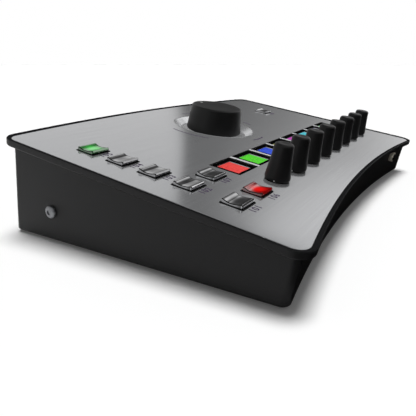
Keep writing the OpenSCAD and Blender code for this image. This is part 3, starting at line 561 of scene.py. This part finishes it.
# Section of the dish in (radius, w): level floor, an arc into the sloping wall, an arc over the rim, then down outside
# to the flange and back underneath
def dishProfile(shape):
    floorW, flangeW, thick = -shape["drop"], -shape["seat"], shape["thick"]
    return np.vstack([
        [[shape["boreR"], floorW]],
        arcPoints(shape["floorR"], shape["footR"] - shape["drop"], shape["footR"], -90, shape["slope"] - 90, 10),
        arcPoints(shape["rimR"], -shape["edgeR"], shape["edgeR"], 90 + shape["slope"], 90, 6),
        [[shape["outR"] - shape["outEdge"], 0], [shape["outR"], -shape["outEdge"]], [shape["outR"], flangeW],
         [shape["flangeR"], flangeW], [shape["flangeR"], flangeW - thick], [shape["outR"], flangeW - thick],
         [shape["floorR"], floorW - thick], [shape["boreR"], floorW - thick]]])


dishSection = dishProfile(dishShape)
onRim = (dishSection[:, 0] > dishShape["rimR"] - dishShape["rimInner"]) & (dishSection[:, 1] > -dishShape["rimLow"])
addPiece("dial_bowl", *turnedPiece(dishSection, dialAt, dishShape), dishFinish, "case", "dish_aluminium",
         ("dial_dish",), second=panelFinish, zones=np.repeat(onRim, dishShape["around"]))

# Dial and knobs: black ABS with a soft-touch coat, matt with a slight sheen at the edges; the dial's mark and a small
# white spot low on each knob's side, at the same turn on every knob, are clean white
knobFinish = grainedFinish("abs_soft_touch_coat", "#080809", "#0c0c0d", (0.38, 0.46), grain=0.4, bump=0.01,
                           extra={"Specular IOR Level": 0.28})
dotFinish = grainedFinish("white_spot_finish", "#e6e6e3", "#f4f4f2", (0.35, 0.45), grain=0.3, bump=0.005)
dialShape = dict(baseR=21.4, topR=19.4, foot=-3.1, top=16.0, footRound=(0.9, 1.2), topRound=(1.8, 1.5), dish=0.5,
                 flare=1.0, roomR=7.9, roomTop=-0.3, boreR=3.02, boreTop=11.9, around=144)
knobShape = dict(baseR=7.4, topR=5.5, foot=0.3, top=21.0, footRound=(0.9, 1.7), topRound=(1.7, 1.7), dish=0.35,
                 flare=1.3, roomR=6.17, roomTop=3.2, boreR=3.02, boreTop=17.4, around=72)
quarterTurn = np.radians(np.linspace(0, 90, 9))


# Radius of a knob's side at a height: a quarter ellipse at the foot, then from the base to the top by a power of the
# height that is left, which flares the foot
def knobSide(shape, height):
    footWide, footHigh = shape["footRound"]
    low, high = shape["foot"] + footHigh, shape["top"] - shape["topRound"][1]
    left = np.clip((high - height) / (high - low), 0, 1)
    under = np.clip((low - height) / footHigh, 0, 1)
    taper = shape["topR"] + (shape["baseR"] - shape["topR"]) * left ** shape["flare"]
    return taper - footWide * (1 - np.sqrt(1 - under ** 2))


# A knob's foot in (radius, w): across the bottom, then a quarter ellipse up to where the side starts
def knobFoot(shape):
    footWide, footHigh = shape["footRound"]
    return np.vstack([[[shape["roomR"], shape["foot"]]],
                      np.column_stack([shape["baseR"] - footWide + footWide * np.sin(quarterTurn),
                                       shape["foot"] + footHigh - footHigh * np.cos(quarterTurn)])])


# Section of a turned knob in (radius, w), above its foot: the side tapers, the top edge is a quarter ellipse, a shallow
# hollow in the top runs out smoothly, and under it all is the room for nut and shaft
def knobUpper(shape):
    topWide, topHigh = shape["topRound"]
    low, high = shape["foot"] + shape["footRound"][1], shape["top"] - topHigh
    heights = np.linspace(low, high, 13)[:-1]
    hollow = np.linspace(1, 0, 9)
    topEdge = [shape["topR"] - topWide + topWide * np.cos(quarterTurn), high + topHigh * np.sin(quarterTurn)]
    return np.vstack([
        np.column_stack([knobSide(shape, heights), heights]), np.column_stack(topEdge)[:-1],
        np.column_stack([hollow * (shape["topR"] - topWide), shape["top"] - shape["dish"] * (1 - hollow ** 2) ** 2]),
        [[0, shape["boreTop"]], [shape["boreR"], shape["boreTop"]], [shape["boreR"], shape["roomTop"]],
         [shape["roomR"], shape["roomTop"]]]])


# The dial and the knobs don't show in glossy surfaces, which would darken the panel. Each knob's foot is a ring of its
# own, which does, and so gives the dark line where the knob stands.
dialProfile = np.vstack([knobFoot(dialShape), knobUpper(dialShape)[1:]])
dialCap = addPiece("dial_cap", *turnedPiece(dialProfile, dialAt, dialShape), knobFinish, "dial", "dial_plastic",
                   ("main_dial",))
dialCap.visible_glossy = False
ringTop = [[knobShape["roomR"], knobShape["foot"] + knobShape["footRound"][1]]]
capProfile, ringProfile = np.vstack([ringTop, knobUpper(knobShape)]), np.vstack([knobFoot(knobShape), ringTop])
for i in channelNames:
    knobCap = addPiece(f"knob_cap_{i}", *turnedPiece(capProfile, knobAt[i], knobShape), knobFinish, f"knob_{i}",
                       "knob_plastic", (f"knob_{i}",))
    knobCap.visible_glossy = False
    addPiece(f"knob_ring_{i}", *turnedPiece(ringProfile, knobAt[i], knobShape), knobFinish, f"knob_{i}", "knob_plastic")

# Marks: each ring is a share of the spot's radius, and how far it stands proud
markShape = dict(knobTurn=188.0, knobHeight=1.0, knobR=0.45, dialTurn=90.0, dialOut=14.4, dialR=0.9,
                 rings=((1.0, -0.15), (1.0, 0.03), (0.75, 0.04), (0.4, 0.05), (0.0, 0.05)))


# A round spot on a knob, as rings of a small circle: for a spot on the side, its points keep to the side's radius at
# their height, for one on the top they keep to the top's hollow. Proud by a film's thickness, with its edge let in.
def markGrid(centre, shape, turnAt, at, radius, onTop):
    ring = np.linspace(0, 2 * math.pi, 24, endpoint=False)
    share, proud = np.array(markShape["rings"]).T[:, :, None] + 0 * ring
    reach = share * radius
    across, along = reach * np.cos(ring), reach * np.sin(ring)
    if onTop:
        out, turnBy = at + along, across / at
        hollow = out / (shape["topR"] - shape["topRound"][0])
        height = shape["top"] - shape["dish"] * (1 - hollow ** 2) ** 2 + proud
    else:
        height = at + along
        out = knobSide(shape, height) + proud
        turnBy = across / shape["baseR"]
    a = math.radians(turnAt) + turnBy
    return np.stack([centre[0] + out * np.cos(a), centre[1] + out * np.sin(a), height], -1)


spot = markGrid(dialAt, dialShape, markShape["dialTurn"], markShape["dialOut"], markShape["dialR"], True)
addPiece("dial_mark", *joinGrids([spot]), dotFinish, "dial", "dial_plastic")
for i in channelNames:
    spot = markGrid(knobAt[i], knobShape, markShape["knobTurn"], markShape["knobHeight"], markShape["knobR"], False)
    knobMark = addPiece(f"knob_mark_{i}", *joinGrids([spot]), dotFinish, f"knob_{i}", "knob_plastic")
    knobMark.visible_glossy = False
print("dial and knobs made")

# Keys: smoked polycarbonate caps, moulded glossy, with a hollow across each top; two are lit from below. Slopes are
# (place along v, degrees).
keyShape = dict(half=(6.45, 5.75), cornerR=0.8, cornerSteps=4, sidePoints=18, rise=2.05, sideR=0.35, sideEnd=70.0,
                band=(0.55, 0.75), foot=-4.75, topStops=(1.0, 0.7, 0.0), topSteps=(20, 12), edge=0.91, edgeFacing=0.7,
                slopes=((-5.75, 60), (-5.6, 42), (-4.95, 34), (-4.85, 0), (-4.75, -10), (-4.4, -20), (-3.4, -13),
                        (0.0, -4), (2.0, 7), (4.0, 24), (4.3, 20), (4.55, 1), (5.35, -3), (5.75, -70)),
                haze=1.5, rough=(0.06, 0.12), coatRough=0.05, coatIor=2.8, glowAhead=0.3, glowR=(1.5, 6.0),
                edgeGlowAndHighlight=0.12, wornAhead=4.0, wornR=(4.5, 7.5), lipSpan=(-6.0, -2.0), lipAt=(0.33, 0.37, 0.55, 1.0))


# A cap's plastic: its colour and glow fade smoothly from the middle to the edges, by the distance from the middle;
# on the smoke caps the lighter edge colour is a painted highlight. Its gloss coat is worn thin in front, where fingers
# press it, by the distance from a point there. Along v, a painted highlight brightens the front lip and a painted shade
# darkens the strip behind it, which runs out towards the middle.
def capFinish(name, centre, pressed, look):
    material, tree = newMaterial(name)
    place = addNode(tree, "ShaderNodeTexCoord").outputs["Object"]
    noise = addNode(tree, "ShaderNodeTexNoise", {"Scale": 1 / (keyShape["haze"] * mm), "Detail": 2.0},
                    {"Vector": place})
    gloss = addNode(tree, "ShaderNodeMapRange", {"To Min": keyShape["rough"][0], "To Max": keyShape["rough"][1]},
                    {"Value": noise.outputs["Fac"]})

    # Blends from one level to another between two distances in mm from a point
    def blendAway(point, reach, levels):
        away = addNode(tree, "ShaderNodeVectorMath", {"operation": "DISTANCE", 1: point}, {0: place})
        blend = addNode(tree, "ShaderNodeMapRange",
                        {"interpolation_type": "SMOOTHSTEP", "From Min": reach[0] * mm, "From Max": reach[1] * mm,
                         "To Min": levels[0], "To Max": levels[1]}, {"Value": away.outputs["Value"]})
        return blend.outputs["Result"]

    # Fading from the middle: the lit caps' glow, and on the smoke caps a lighter edge colour that is a painted
    # highlight
    fade = blendAway(centre, keyShape["glowR"], (1.0, keyShape["edgeGlowAndHighlight"]))
    worn = blendAway(pressed, keyShape["wornR"], look["coat"])
    lit = addNode(tree, "ShaderNodeMath", {"operation": "MULTIPLY", 1: look["glow"]}, {0: fade})
    tone = addNode(tree, "ShaderNodeValToRGB", links={"Fac": fade})
    tone.color_ramp.elements[0].color = linear(look["edge"])
    tone.color_ramp.elements[1].color = linear(look["middle"])
    # Painted light along v: the front lip is brightened and the strip behind it darkened
    along = addNode(tree, "ShaderNodeVectorMath", {"operation": "DOT_PRODUCT", 1: tuple(panelAxes[1])}, {0: place})
    front, back = (float(np.dot(centre, panelAxes[1])) + end * mm for end in keyShape["lipSpan"])
    strip = addNode(tree, "ShaderNodeMapRange", {"From Min": front, "From Max": back},
                    {"Value": along.outputs["Value"]})
    shade = addNode(tree, "ShaderNodeValToRGB", links={"Fac": strip.outputs["Result"]})
    onLip, behind = look["lip"]
    for stop, (share, level) in enumerate(zip(keyShape["lipAt"], (onLip, behind, behind, 1.0))):
        element = shade.color_ramp.elements[stop] if stop < 2 else shade.color_ramp.elements.new(share)
        element.position, element.color = share, (level, level, level, 1.0)
    shaded = addNode(tree, "ShaderNodeVectorMath", {"operation": "MULTIPLY"},
                     {0: tone.outputs["Color"], 1: shade.outputs["Color"]})
    shader = addNode(tree, "ShaderNodeBsdfPrincipled",
                     {"Metallic": look["metallic"], "Emission Color": linear(look["middle"]), "Specular IOR Level": 0.0,
                      "Coat Roughness": keyShape["coatRough"], "Coat IOR": keyShape["coatIor"]},
                     {"Base Color": shaded.outputs["Vector"], "Roughness": gloss.outputs["Result"],
                      "Emission Strength": lit.outputs[0], "Coat Weight": worn})
    closeMaterial(tree, shader)
    return material


# Height of a cap's top: along v the sum of its slopes, which run straight between the given degrees and give a front
# lip, a hollow that steepens to the back and a back edge; along u it is level, and an arc falls off at each side
slopeAt, slopeTurn = np.array(keyShape["slopes"]).T
capAlong = np.linspace(slopeAt[0], slopeAt[-1], 461)  # every 0.025 mm
capRise = np.cumsum(np.tan(np.radians(np.interp(capAlong, slopeAt, slopeTurn)))) * (capAlong[1] - capAlong[0])
capRise += keyShape["rise"] - capRise.max()


def capTop(u, v):
    sideR = keyShape["sideR"]
    past = np.abs(u) - keyShape["half"][0] + sideR * math.sin(math.radians(keyShape["sideEnd"]))
    return np.interp(v, capAlong, capRise) - sideR + np.sqrt(sideR ** 2 - np.maximum(past, 0) ** 2)


# A cap as rings of a round-cornered rectangle: out over the bottom, up a black skirt to the foot of a band that follows
# the top's edge and is deeper at the sides than in front, then inwards over the top. With it comes which faces are
# black: the skirt, whose black also paints the shade in the gap under the cap, and a painted shade line along the
# edge of the top at the sides and the back.
def capGrid(centre):
    half, points = np.array(keyShape["half"]), (keyShape["cornerSteps"], keyShape["sidePoints"])
    outline = roundRect(*half, keyShape["cornerR"], *points)
    along = np.roll(outline, -1, 0) - np.roll(outline, 1, 0)
    facing = np.stack([along[:, 1], -along[:, 0]], 1) / np.linalg.norm(along, axis=1, keepdims=True)
    band = keyShape["band"][0] + keyShape["band"][1] * facing[:, 0] ** 2
    rings = [np.column_stack([outline * share, np.full(len(outline), keyShape["foot"])]) for share in (0.0, 0.5, 1.0)]
    skirtRows = len(rings)
    rings.append(np.column_stack([outline, capTop(*outline.T) - band]))
    shares = stepsBetween(keyShape["topStops"], keyShape["topSteps"])
    for share in shares:
        plan = roundRect(*(half * share), keyShape["cornerR"] * share, *points)
        rings.append(np.column_stack([plan, capTop(*plan.T)]))
    skirt = np.arange(len(rings) - 1) < skirtRows
    edge = np.concatenate([np.zeros(skirtRows + 1, bool), shares[:-1] > keyShape["edge"] + 1e-6])
    lined = np.maximum(np.abs(facing[:, 0]), facing[:, 1]) > keyShape["edgeFacing"]
    return np.array(rings) + [*centre, 0], (skirt[:, None] | edge[:, None] & lined).ravel()


# The skirt is dull and all but black, and its black also paints the shade in the gap under the cap. The dark caps are
# metallised inside and look like dull mirrors, and the lit ones glow in their colour. A look gives the colour at the
# edges and in the middle (on the smoke caps the lighter edge is a painted highlight), the glow, the coat where it is
# worn and elsewhere, and the levels of the painted highlight on the lip and the painted shade on the strip behind it.
# The skirt's own near-black finish, which also paints the gap's shade and the shade line along the top's edge
skirtAndShadeFinish = grainedFinish("polycarbonate_matt_skirt_and_painted_shade", "#040404", "#080808", (0.5, 0.6), grain=0.4, bump=0.004,
                            extra={"Specular IOR Level": 0.05})
# Smoke caps: the lighter edge colour is a painted highlight, and the lip levels paint the lip light and the strip dark
smokeLook = dict(name="polycarbonate_smoke_metallised", edge="#a4a4a6", middle="#5c5c5e", glow=0.0, slot="key_smoke",
                 metallic=1.0, coat=(0.2, 0.9), lip=(2.2, 0.1))
keyLooks = {i: smokeLook for i in channelNames}
# Keys 3 and 4 get no painted lip highlight and no painted strip shade
keyLooks[3] = keyLooks[4] = dict(smokeLook, lip=(1.0, 1.0))
keyLooks[5] = dict(name="polycarbonate_moulded_green", edge="#0a4a14", middle="#2cc43c", glow=0.22, slot="key_green",
                   metallic=0.0, coat=(1.0, 1.0), lip=(1.0, 1.0))
keyLooks[6] = dict(name="polycarbonate_moulded_red", edge="#640403", middle="#c40f0c", glow=0.33, slot="key_red",
                   metallic=0.0, coat=(0.05, 1.0), lip=(1.0, 1.0))
for i, look in keyLooks.items():
    middle, pressed = toWorld([[keyAt[i][0], keyAt[i][1] - ahead, capTop(0, 0)]
                               for ahead in (keyShape["glowAhead"], keyShape["wornAhead"])])
    finish = capFinish(f"{look['name']}_{i}", tuple(middle), tuple(pressed), look)
    cap, inBlack = capGrid(keyAt[i])
    addPiece(f"key_top_{i}", *joinGrids([cap]), finish, f"key_{i}", look["slot"], (f"key_cap_{i}",),
             second=skirtAndShadeFinish, zones=inBlack)
print("keys made")

# Displays: black bezels, so dull that they stay black, round small lit screens, each with a thin bright frame
bezelShape = dict(window=(24.2, 20.4), windowR=0.7, edge=0.1, screen=(15.4, 14.4), screenR=0.2, lip=0.05, lipR=0.3,
                  drop=0.9, low=-3.6, frame=0.12, frameR=0.1, frameDeep=0.2, frameOut=0.02, frameIn=0.03)
bezelFinish = grainedFinish("polycarbonate_moulded_black", "#030303", "#060606", (0.3, 0.4), grain=0.4, bump=0.004,
                            extra={"Specular IOR Level": 0.0})
screenTop = panelBox("display_1")[1][2]
screenLow = screenTop - bezelShape["frameDeep"]
bezelTop, bezelLow, lip, edge = -bezelShape["drop"], bezelShape["low"], bezelShape["lip"], bezelShape["edge"]
windowR, screenR, frameR = bezelShape["windowR"], bezelShape["screenR"], bezelShape["frameR"]
halfW, halfS = np.array(bezelShape["window"]) / 2, np.array(bezelShape["screen"]) / 2
halfF = halfS - bezelShape["frame"]
bezelSteps = [(halfW, windowR, bezelLow), (halfW, windowR, bezelTop - edge), (halfW - edge, windowR, bezelTop),
              (halfS + lip, bezelShape["lipR"], bezelTop), (halfS, screenR, bezelTop - lip), (halfS, screenR, bezelLow)]
frameSteps = [(halfS, screenR, screenLow), (halfS, screenR, bezelTop + bezelShape["frameOut"]),
              (halfF, frameR, screenTop + bezelShape["frameIn"]), (halfF, frameR, screenLow)]
bezelGrids = [stackedRects(displayAt[i], bezelSteps) for i in channelNames]
frameGrids = [stackedRects(displayAt[i], frameSteps) for i in channelNames]
# Slightly glossy moulded bars lie on the panel between the windows; their pale colour is a painted highlight
barHighlightFinish = grainedFinish("polycarbonate_pale_painted_highlight", "#c0c0c2", "#cccccf", (0.35, 0.45), grain=0.5, bump=0.004)
barShape = dict(half=(1.15, 10.1), cornerR=0.5, low=-0.3, top=0.12, edge=0.1)
barHalf, barLow, barTop, edge = np.array(barShape["half"]), barShape["low"], barShape["top"], barShape["edge"]
barSteps = [(barHalf * share, barShape["cornerR"] * share, w) for share, w in (
    (0.0, barLow), (1.0, barLow), (1.0, barTop - edge), (1 - edge / barHalf[0], barTop), (0.0, barTop))]
barGrids = [stackedRects((displayAt[i] + displayAt[i + 1]) / 2, barSteps) for i in channelNames[:-1]]
addPiece("screen_bars", *joinGrids(barGrids), barHighlightFinish, "case", "bezel_plastic", (), sharp=30)
addPiece("screen_frames", *joinGrids(frameGrids, True), panelFinish, "case", "panel_aluminium", (), sharp=30)
addPiece("screen_bezels", *joinGrids(bezelGrids, True), bezelFinish, "case", "bezel_plastic", ("display_bezels",),
         sharp=30)

screenShape = dict(cell=0.35, cellGap=0.03, bar=(1.9, 2.4), barGap=0.75, barShift=0.4, rough=0.12, glow=0.62)


# A lit screen: its colour glows evenly over a grid of picture cells, coarser than real ones, with rows of short dim
# bars across it. Both are brick patterns.
def screenFinish(name, colour, dim):
    material, tree = newMaterial(name)
    place = addNode(tree, "ShaderNodeTexCoord").outputs["Object"]
    cell, (barWide, barHigh) = screenShape["cell"] * mm, screenShape["bar"]
    cells = addNode(tree, "ShaderNodeTexBrick",
                    {"Scale": 1.0, "offset": 0.0, "Brick Width": cell, "Row Height": cell,
                     "Mortar Size": screenShape["cellGap"] * mm, "Color1": linear(colour), "Color2": linear(colour),
                     "Mortar": linear(dim)}, {"Vector": place})
    bars = addNode(tree, "ShaderNodeTexBrick",
                   {"Scale": 1.0, "offset": screenShape["barShift"], "Brick Width": barWide * mm,
                    "Row Height": barHigh * mm, "Mortar Size": screenShape["barGap"] * mm, "Mortar Smooth": 0.2,
                    "Color1": (1, 1, 1, 1), "Color2": (0, 0, 0, 1), "Mortar": (0, 0, 0, 1)}, {"Vector": place})
    shown = addNode(tree, "ShaderNodeMix", {"data_type": "RGBA", 7: linear(dim)},
                    {0: bars.outputs["Color"], 6: cells.outputs["Color"]})
    shader = addNode(tree, "ShaderNodeBsdfPrincipled",
                     {"Roughness": screenShape["rough"], "Emission Strength": screenShape["glow"],
                      "Specular IOR Level": 0.06}, {"Base Color": shown.outputs[2], "Emission Color": shown.outputs[2]})
    closeMaterial(tree, shader)
    return material


screenColours = (("#c83d39", "#8c2422"), ("#44b81e", "#2c7a13"), ("#193fb6", "#112a7c"), ("#a8a428", "#72721a"),
                 ("#a62f9c", "#76206e"), ("#2aa6b4", "#1c7078"), ("#6c3cae", "#472674"), ("#38a340", "#246b2a"))
nodeFinish = {}
for i, (colour, dim) in zip(channelNames, screenColours):
    nodeFinish[f"display_{i}"] = screenFinish(f"screen_glass_lit_{i}", colour, dim)
print("displays made")

# Print on the panel: plain numbers at the keys and arcs round the dial, in screen-printed ink: flat, matt and dusky
inkFinish = grainedFinish("ink_screen_printed", "#33263d", "#3e304a", (0.55, 0.7), grain=0.25, bump=0.002)
printShape = dict(thick=0.02, numberSize=5.2, bolder=0.13, spread=1.2, numberAhead=9.6, arcR=40.0, arcWide=1.1,
                  arcs=((162, 205), (258, 281), (-21, -9), (62, 74)))


# A printed word as a solid: a text curve made a mesh, with its middle at (u, v)
def printedWord(word, middle):
    curve = bpy.data.curves.new("printed_word", "FONT")
    curve.body, curve.size, curve.extrude, curve.resolution_u = word, printShape["numberSize"], printShape["thick"], 4
    curve.align_x, curve.align_y = "CENTER", "CENTER"
    curve.offset, curve.space_character = printShape["bolder"], printShape["spread"]
    holder = bpy.data.objects.new("printed_word", curve)
    mesh = holder.to_mesh()
    points = meshPoints(mesh) + [*middle, 0]
    faces = [list(polygon.vertices) for polygon in mesh.polygons]
    holder.to_mesh_clear()
    bpy.data.objects.remove(holder)
    bpy.data.curves.remove(curve)
    return points, faces


# A printed arc: a thin rectangle carried round the dial between two turns
def printedArc(fromTurn, toTurn):
    a = np.radians(np.linspace(fromTurn, toTurn, 33))[:, None]
    out = printShape["arcR"] + printShape["arcWide"] / 2 * np.array([-1, 1, 1, -1])
    height = printShape["thick"] * np.array([1, 1, -1, -1]) + 0 * a
    loop = np.stack([dialAt[0] + out * np.cos(a), dialAt[1] + out * np.sin(a), height], -1)
    ends = loop[[0, -1]].mean(1, keepdims=True) + np.zeros((1, 4, 1))
    return np.concatenate([ends[:1], loop, ends[1:]])


points, faces = joinGrids([printedArc(*arc) for arc in printShape["arcs"]])
faces = faces.tolist()
for i in channelNames:
    wordPoints, wordFaces = printedWord(f"10{i}", keyAt[i] - [0, printShape["numberAhead"]])
    faces += [[corner + len(points) for corner in face] for face in wordFaces]
    points = np.vstack([points, wordPoints])
addPiece("panel_print", points, faces, inkFinish, "case", "panel_aluminium", sharp=20)
print("print made")

# Side screws: zinc-plated steel, grey and softly bright, with a low, full-shouldered head and a six-sided socket
zinc = grainedFinish("steel_zinc_plated", "#747679", "#8c8d90", (0.36, 0.46), metallic=1.0, grain=0.8, bump=0.004)
screwShape = dict(headR=3.8, headHigh=2.5, fullness=3.4, shoulderTurn=70.0, shankR=2.0, length=9.0, keyR=1.44,
                  keyDeep=0.6, edge=0.12, around=72)


# A screw in (out of the wall, across, up): rings round its axis. The head is a superellipse: the powers of radius and
# height, each over its largest, add up to one. In the six-sided socket the radius is the apothem over the cosine of the
# turn from the middle of the nearest side.
def screwGrid():
    shape = screwShape
    ring = np.linspace(0, 2 * math.pi, shape["around"], endpoint=False)
    power = shape["fullness"]
    socket = shape["keyR"] * math.cos(math.pi / 6) / np.cos(np.mod(ring, math.pi / 3) - math.pi / 6)
    outer = np.array([0, shape["shankR"], shape["shankR"], shape["headR"] - shape["edge"]])[:, None] + 0 * ring
    outerUp = np.array([-shape["length"], -shape["length"], 0, 0])[:, None] + 0 * ring
    turn = np.radians(np.linspace(0, shape["shoulderTurn"], 10))[:, None] + 0 * ring
    dome = np.vstack([shape["headR"] * np.cos(turn) ** (2 / power), [socket + shape["edge"]]])
    headShare = np.maximum(1 - (dome / shape["headR"]) ** power, 0) ** (1 / power)
    domeUp = np.maximum(shape["headHigh"] * headShare, shape["edge"])
    floorUp = shape["headHigh"] - shape["keyDeep"]
    inner = np.array([1, 1, 0])[:, None] * socket
    innerUp = np.vstack([domeUp[-1:] - shape["edge"], np.full((2, shape["around"]), floorUp)])
    radius, up = np.vstack([outer, dome, inner]), np.vstack([outerUp, domeUp, innerUp])
    return np.stack([up, radius * np.cos(ring), radius * np.sin(ring)], -1)


screwLow, screwHigh = panelBox("side_screws")
screwMiddle = (screwLow + screwHigh) / 2
screwOut = screwHigh[0] - screwShape["headHigh"]
screwPoints = [screwMiddle * [0, 1, 1] + (screwGrid() + [screwOut, 0, 0]) * [side, 1, 1] for side in (1, -1)]
addPiece("side_screw_heads", *joinGrids(screwPoints), zinc, "case", "side_screw_steel", ("side_screws",))

# Jack nut: nickel-plated brass, turned and straight-knurled: warm and bright
nickel = grainedFinish("brass_nickel_plated", "#c9c3b4", "#e0dacb", (0.3, 0.4), metallic=0.75, grain=0.8, bump=0.003)
nutShape = dict(fromSide=45.0, drop=10.6, high=3.2, gap=0.05, outR=4.2, boreR=3.05, boreEdge=0.2, chamfer=0.45,
                knurls=30, knurlDeep=0.16, around=240)


# The nut in (across, out of the wall, up): rings round its axis as (radius, height, share of the knurl), with the
# outside waved by a cosine of the turn
def nutGrid():
    shape = nutShape
    ring = np.linspace(0, 2 * math.pi, shape["around"], endpoint=False)
    wave = shape["knurlDeep"] * (0.5 - 0.5 * np.cos(shape["knurls"] * ring))
    cut, out, bore, high, edge = (shape[key] for key in ("chamfer", "outR", "boreR", "high", "boreEdge"))
    rings = np.array([(bore, 0, 0), (out - cut, 0, 0), (out, cut / 2, 1), (out, high - cut, 1), (out - cut, high, 0),
                      (bore + edge, high, 0), (bore, high - edge, 0)])
    radius, up, waved = rings.T[:, :, None] + 0 * ring
    radius = radius - waved * wave
    return np.stack([radius * np.cos(ring), -(shape["gap"] + up), radius * np.sin(ring)], -1)


wallR = caseShape["frontRadius"] + caseShape["overhang"]
nutTurn = math.asin((caseHalf - nutShape["fromSide"]) / wallR)
nutCos, nutSin = math.cos(nutTurn), math.sin(nutTurn)
turnedWall = np.array([[nutCos, -nutSin, 0], [nutSin, nutCos, 0], [0, 0, 1]])
nutPlace = [wallR * nutSin, arcCentre + wallR * nutCos, -nutShape["drop"]]
addPiece("jack_ring_nut", *joinGrids([nutGrid() @ turnedWall + nutPlace], True), nickel, "case", "jack_nut_nickel",
         ("headphone_nut",))

# Feet: moulded rubber pads, dead matt, with a rounded edge and a shallow hollow under them
rubber = grainedFinish("rubber_moulded", "#141414", "#1d1d1d", (0.75, 0.9), grain=0.5, bump=0.03)
footShape = dict(radius=8.0, high=1.5, edge=0.6, hollowR=5.2, hollowSlope=0.4, hollowDeep=0.5, around=72)
padR, padEdge, hollowR, hollowDeep = (footShape[key] for key in ("radius", "edge", "hollowR", "hollowDeep"))
footProfile = np.vstack([
    [[0, hollowDeep], [hollowR - footShape["hollowSlope"], hollowDeep], [hollowR, 0]],
    arcPoints(padR - padEdge, padEdge, padEdge, -90, 0), [[padR, footShape["high"]], [0, footShape["high"]]]])
feetLow, feetHigh = (np.array(corner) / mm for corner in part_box("rubber_feet"))
footGrids = [toPanel(turnedGrid(footProfile, (x, y), footShape["around"]))
             for x in (feetLow[0] + padR, feetHigh[0] - padR) for y in (feetLow[1] + padR, feetHigh[1] - padR)]
addPiece("rubber_pads", *joinGrids(footGrids), rubber, "case", "foot_rubber", ("rubber_feet",))
print("screws, nut and feet made")

# Finishes of the carried-over CAD nodes, outside and inside the case. Powder coat is dull and pebbled, ground steel has
# fine bright lines along the shaft, brass and tin gleam softly, nylon is dull black, vinyl has streaks along the
# ribbon, solder mask is a mottled, glossy green, and black oxide has a dark sheen.
powderCoat = grainedFinish("steel_powder_coated", "#17171a", "#232326", (0.5, 0.65), grain=0.8, bump=0.04)
groundSteel = grainedFinish("steel_ground", "#8b8d91", "#a8aaad", (0.2, 0.32), metallic=1.0, grain=0.3, bump=0.003,
                            stretch=(1, 1, 0.1))
brass = grainedFinish("brass_turned", "#b08d45", "#cda95c", (0.22, 0.34), metallic=1.0, grain=0.4, bump=0.003)
nylon = grainedFinish("nylon_moulded_black", "#060607", "#0b0b0c", (0.45, 0.6), grain=0.5, bump=0.01,
                      extra={"Specular IOR Level": 0.15})
vinyl = grainedFinish("vinyl_extruded_grey", "#8d8f93", "#a7a9ad", (0.45, 0.55), grain=1.2, bump=0.02,
                      stretch=(1, 0.05, 0.05))
solderMask = grainedFinish("glass_epoxy_solder_masked", "#14452c", "#1f6a42", (0.28, 0.4), grain=2.5, bump=0.01)
blackOxide = grainedFinish("steel_black_oxide", "#0b0b0c", "#151517", (0.35, 0.5), grain=0.6, bump=0.004)
tin = grainedFinish("steel_tin_plated", "#a9abae", "#c6c8ca", (0.22, 0.34), metallic=1.0, grain=1.0, bump=0.004)
nodeFinish.update({
    "base_plate": powderCoat, "base_screws": zinc, "key_frames": nylon, "key_switches": nylon, "encoder_bodies": tin,
    "encoder_nuts": blackOxide, "dial_encoder": tin, "dial_nut": nickel, "dial_shaft": groundSteel,
    "control_board": solderMask, "panel_standoffs": brass, "board_screws": zinc, "socket_board": solderMask,
    "ribbon_cable": vinyl, "usb_socket": tin, "power_inlet": nylon, "headphone_jack": nylon})
nodeFinish.update({f"knob_shaft_{i}": groundSteel for i in channelNames})
for name, finish in nodeFinish.items():
    mesh = frame["nodes"][name].data
    mesh.materials.clear()
    mesh.materials.append(finish)
for name in ["encoder_bodies", "dial_nut", "dial_shaft"] + [f"knob_shaft_{i}" for i in channelNames]:
    frame["nodes"][name].visible_glossy = False
print("CAD nodes finished:", len(nodeFinish))
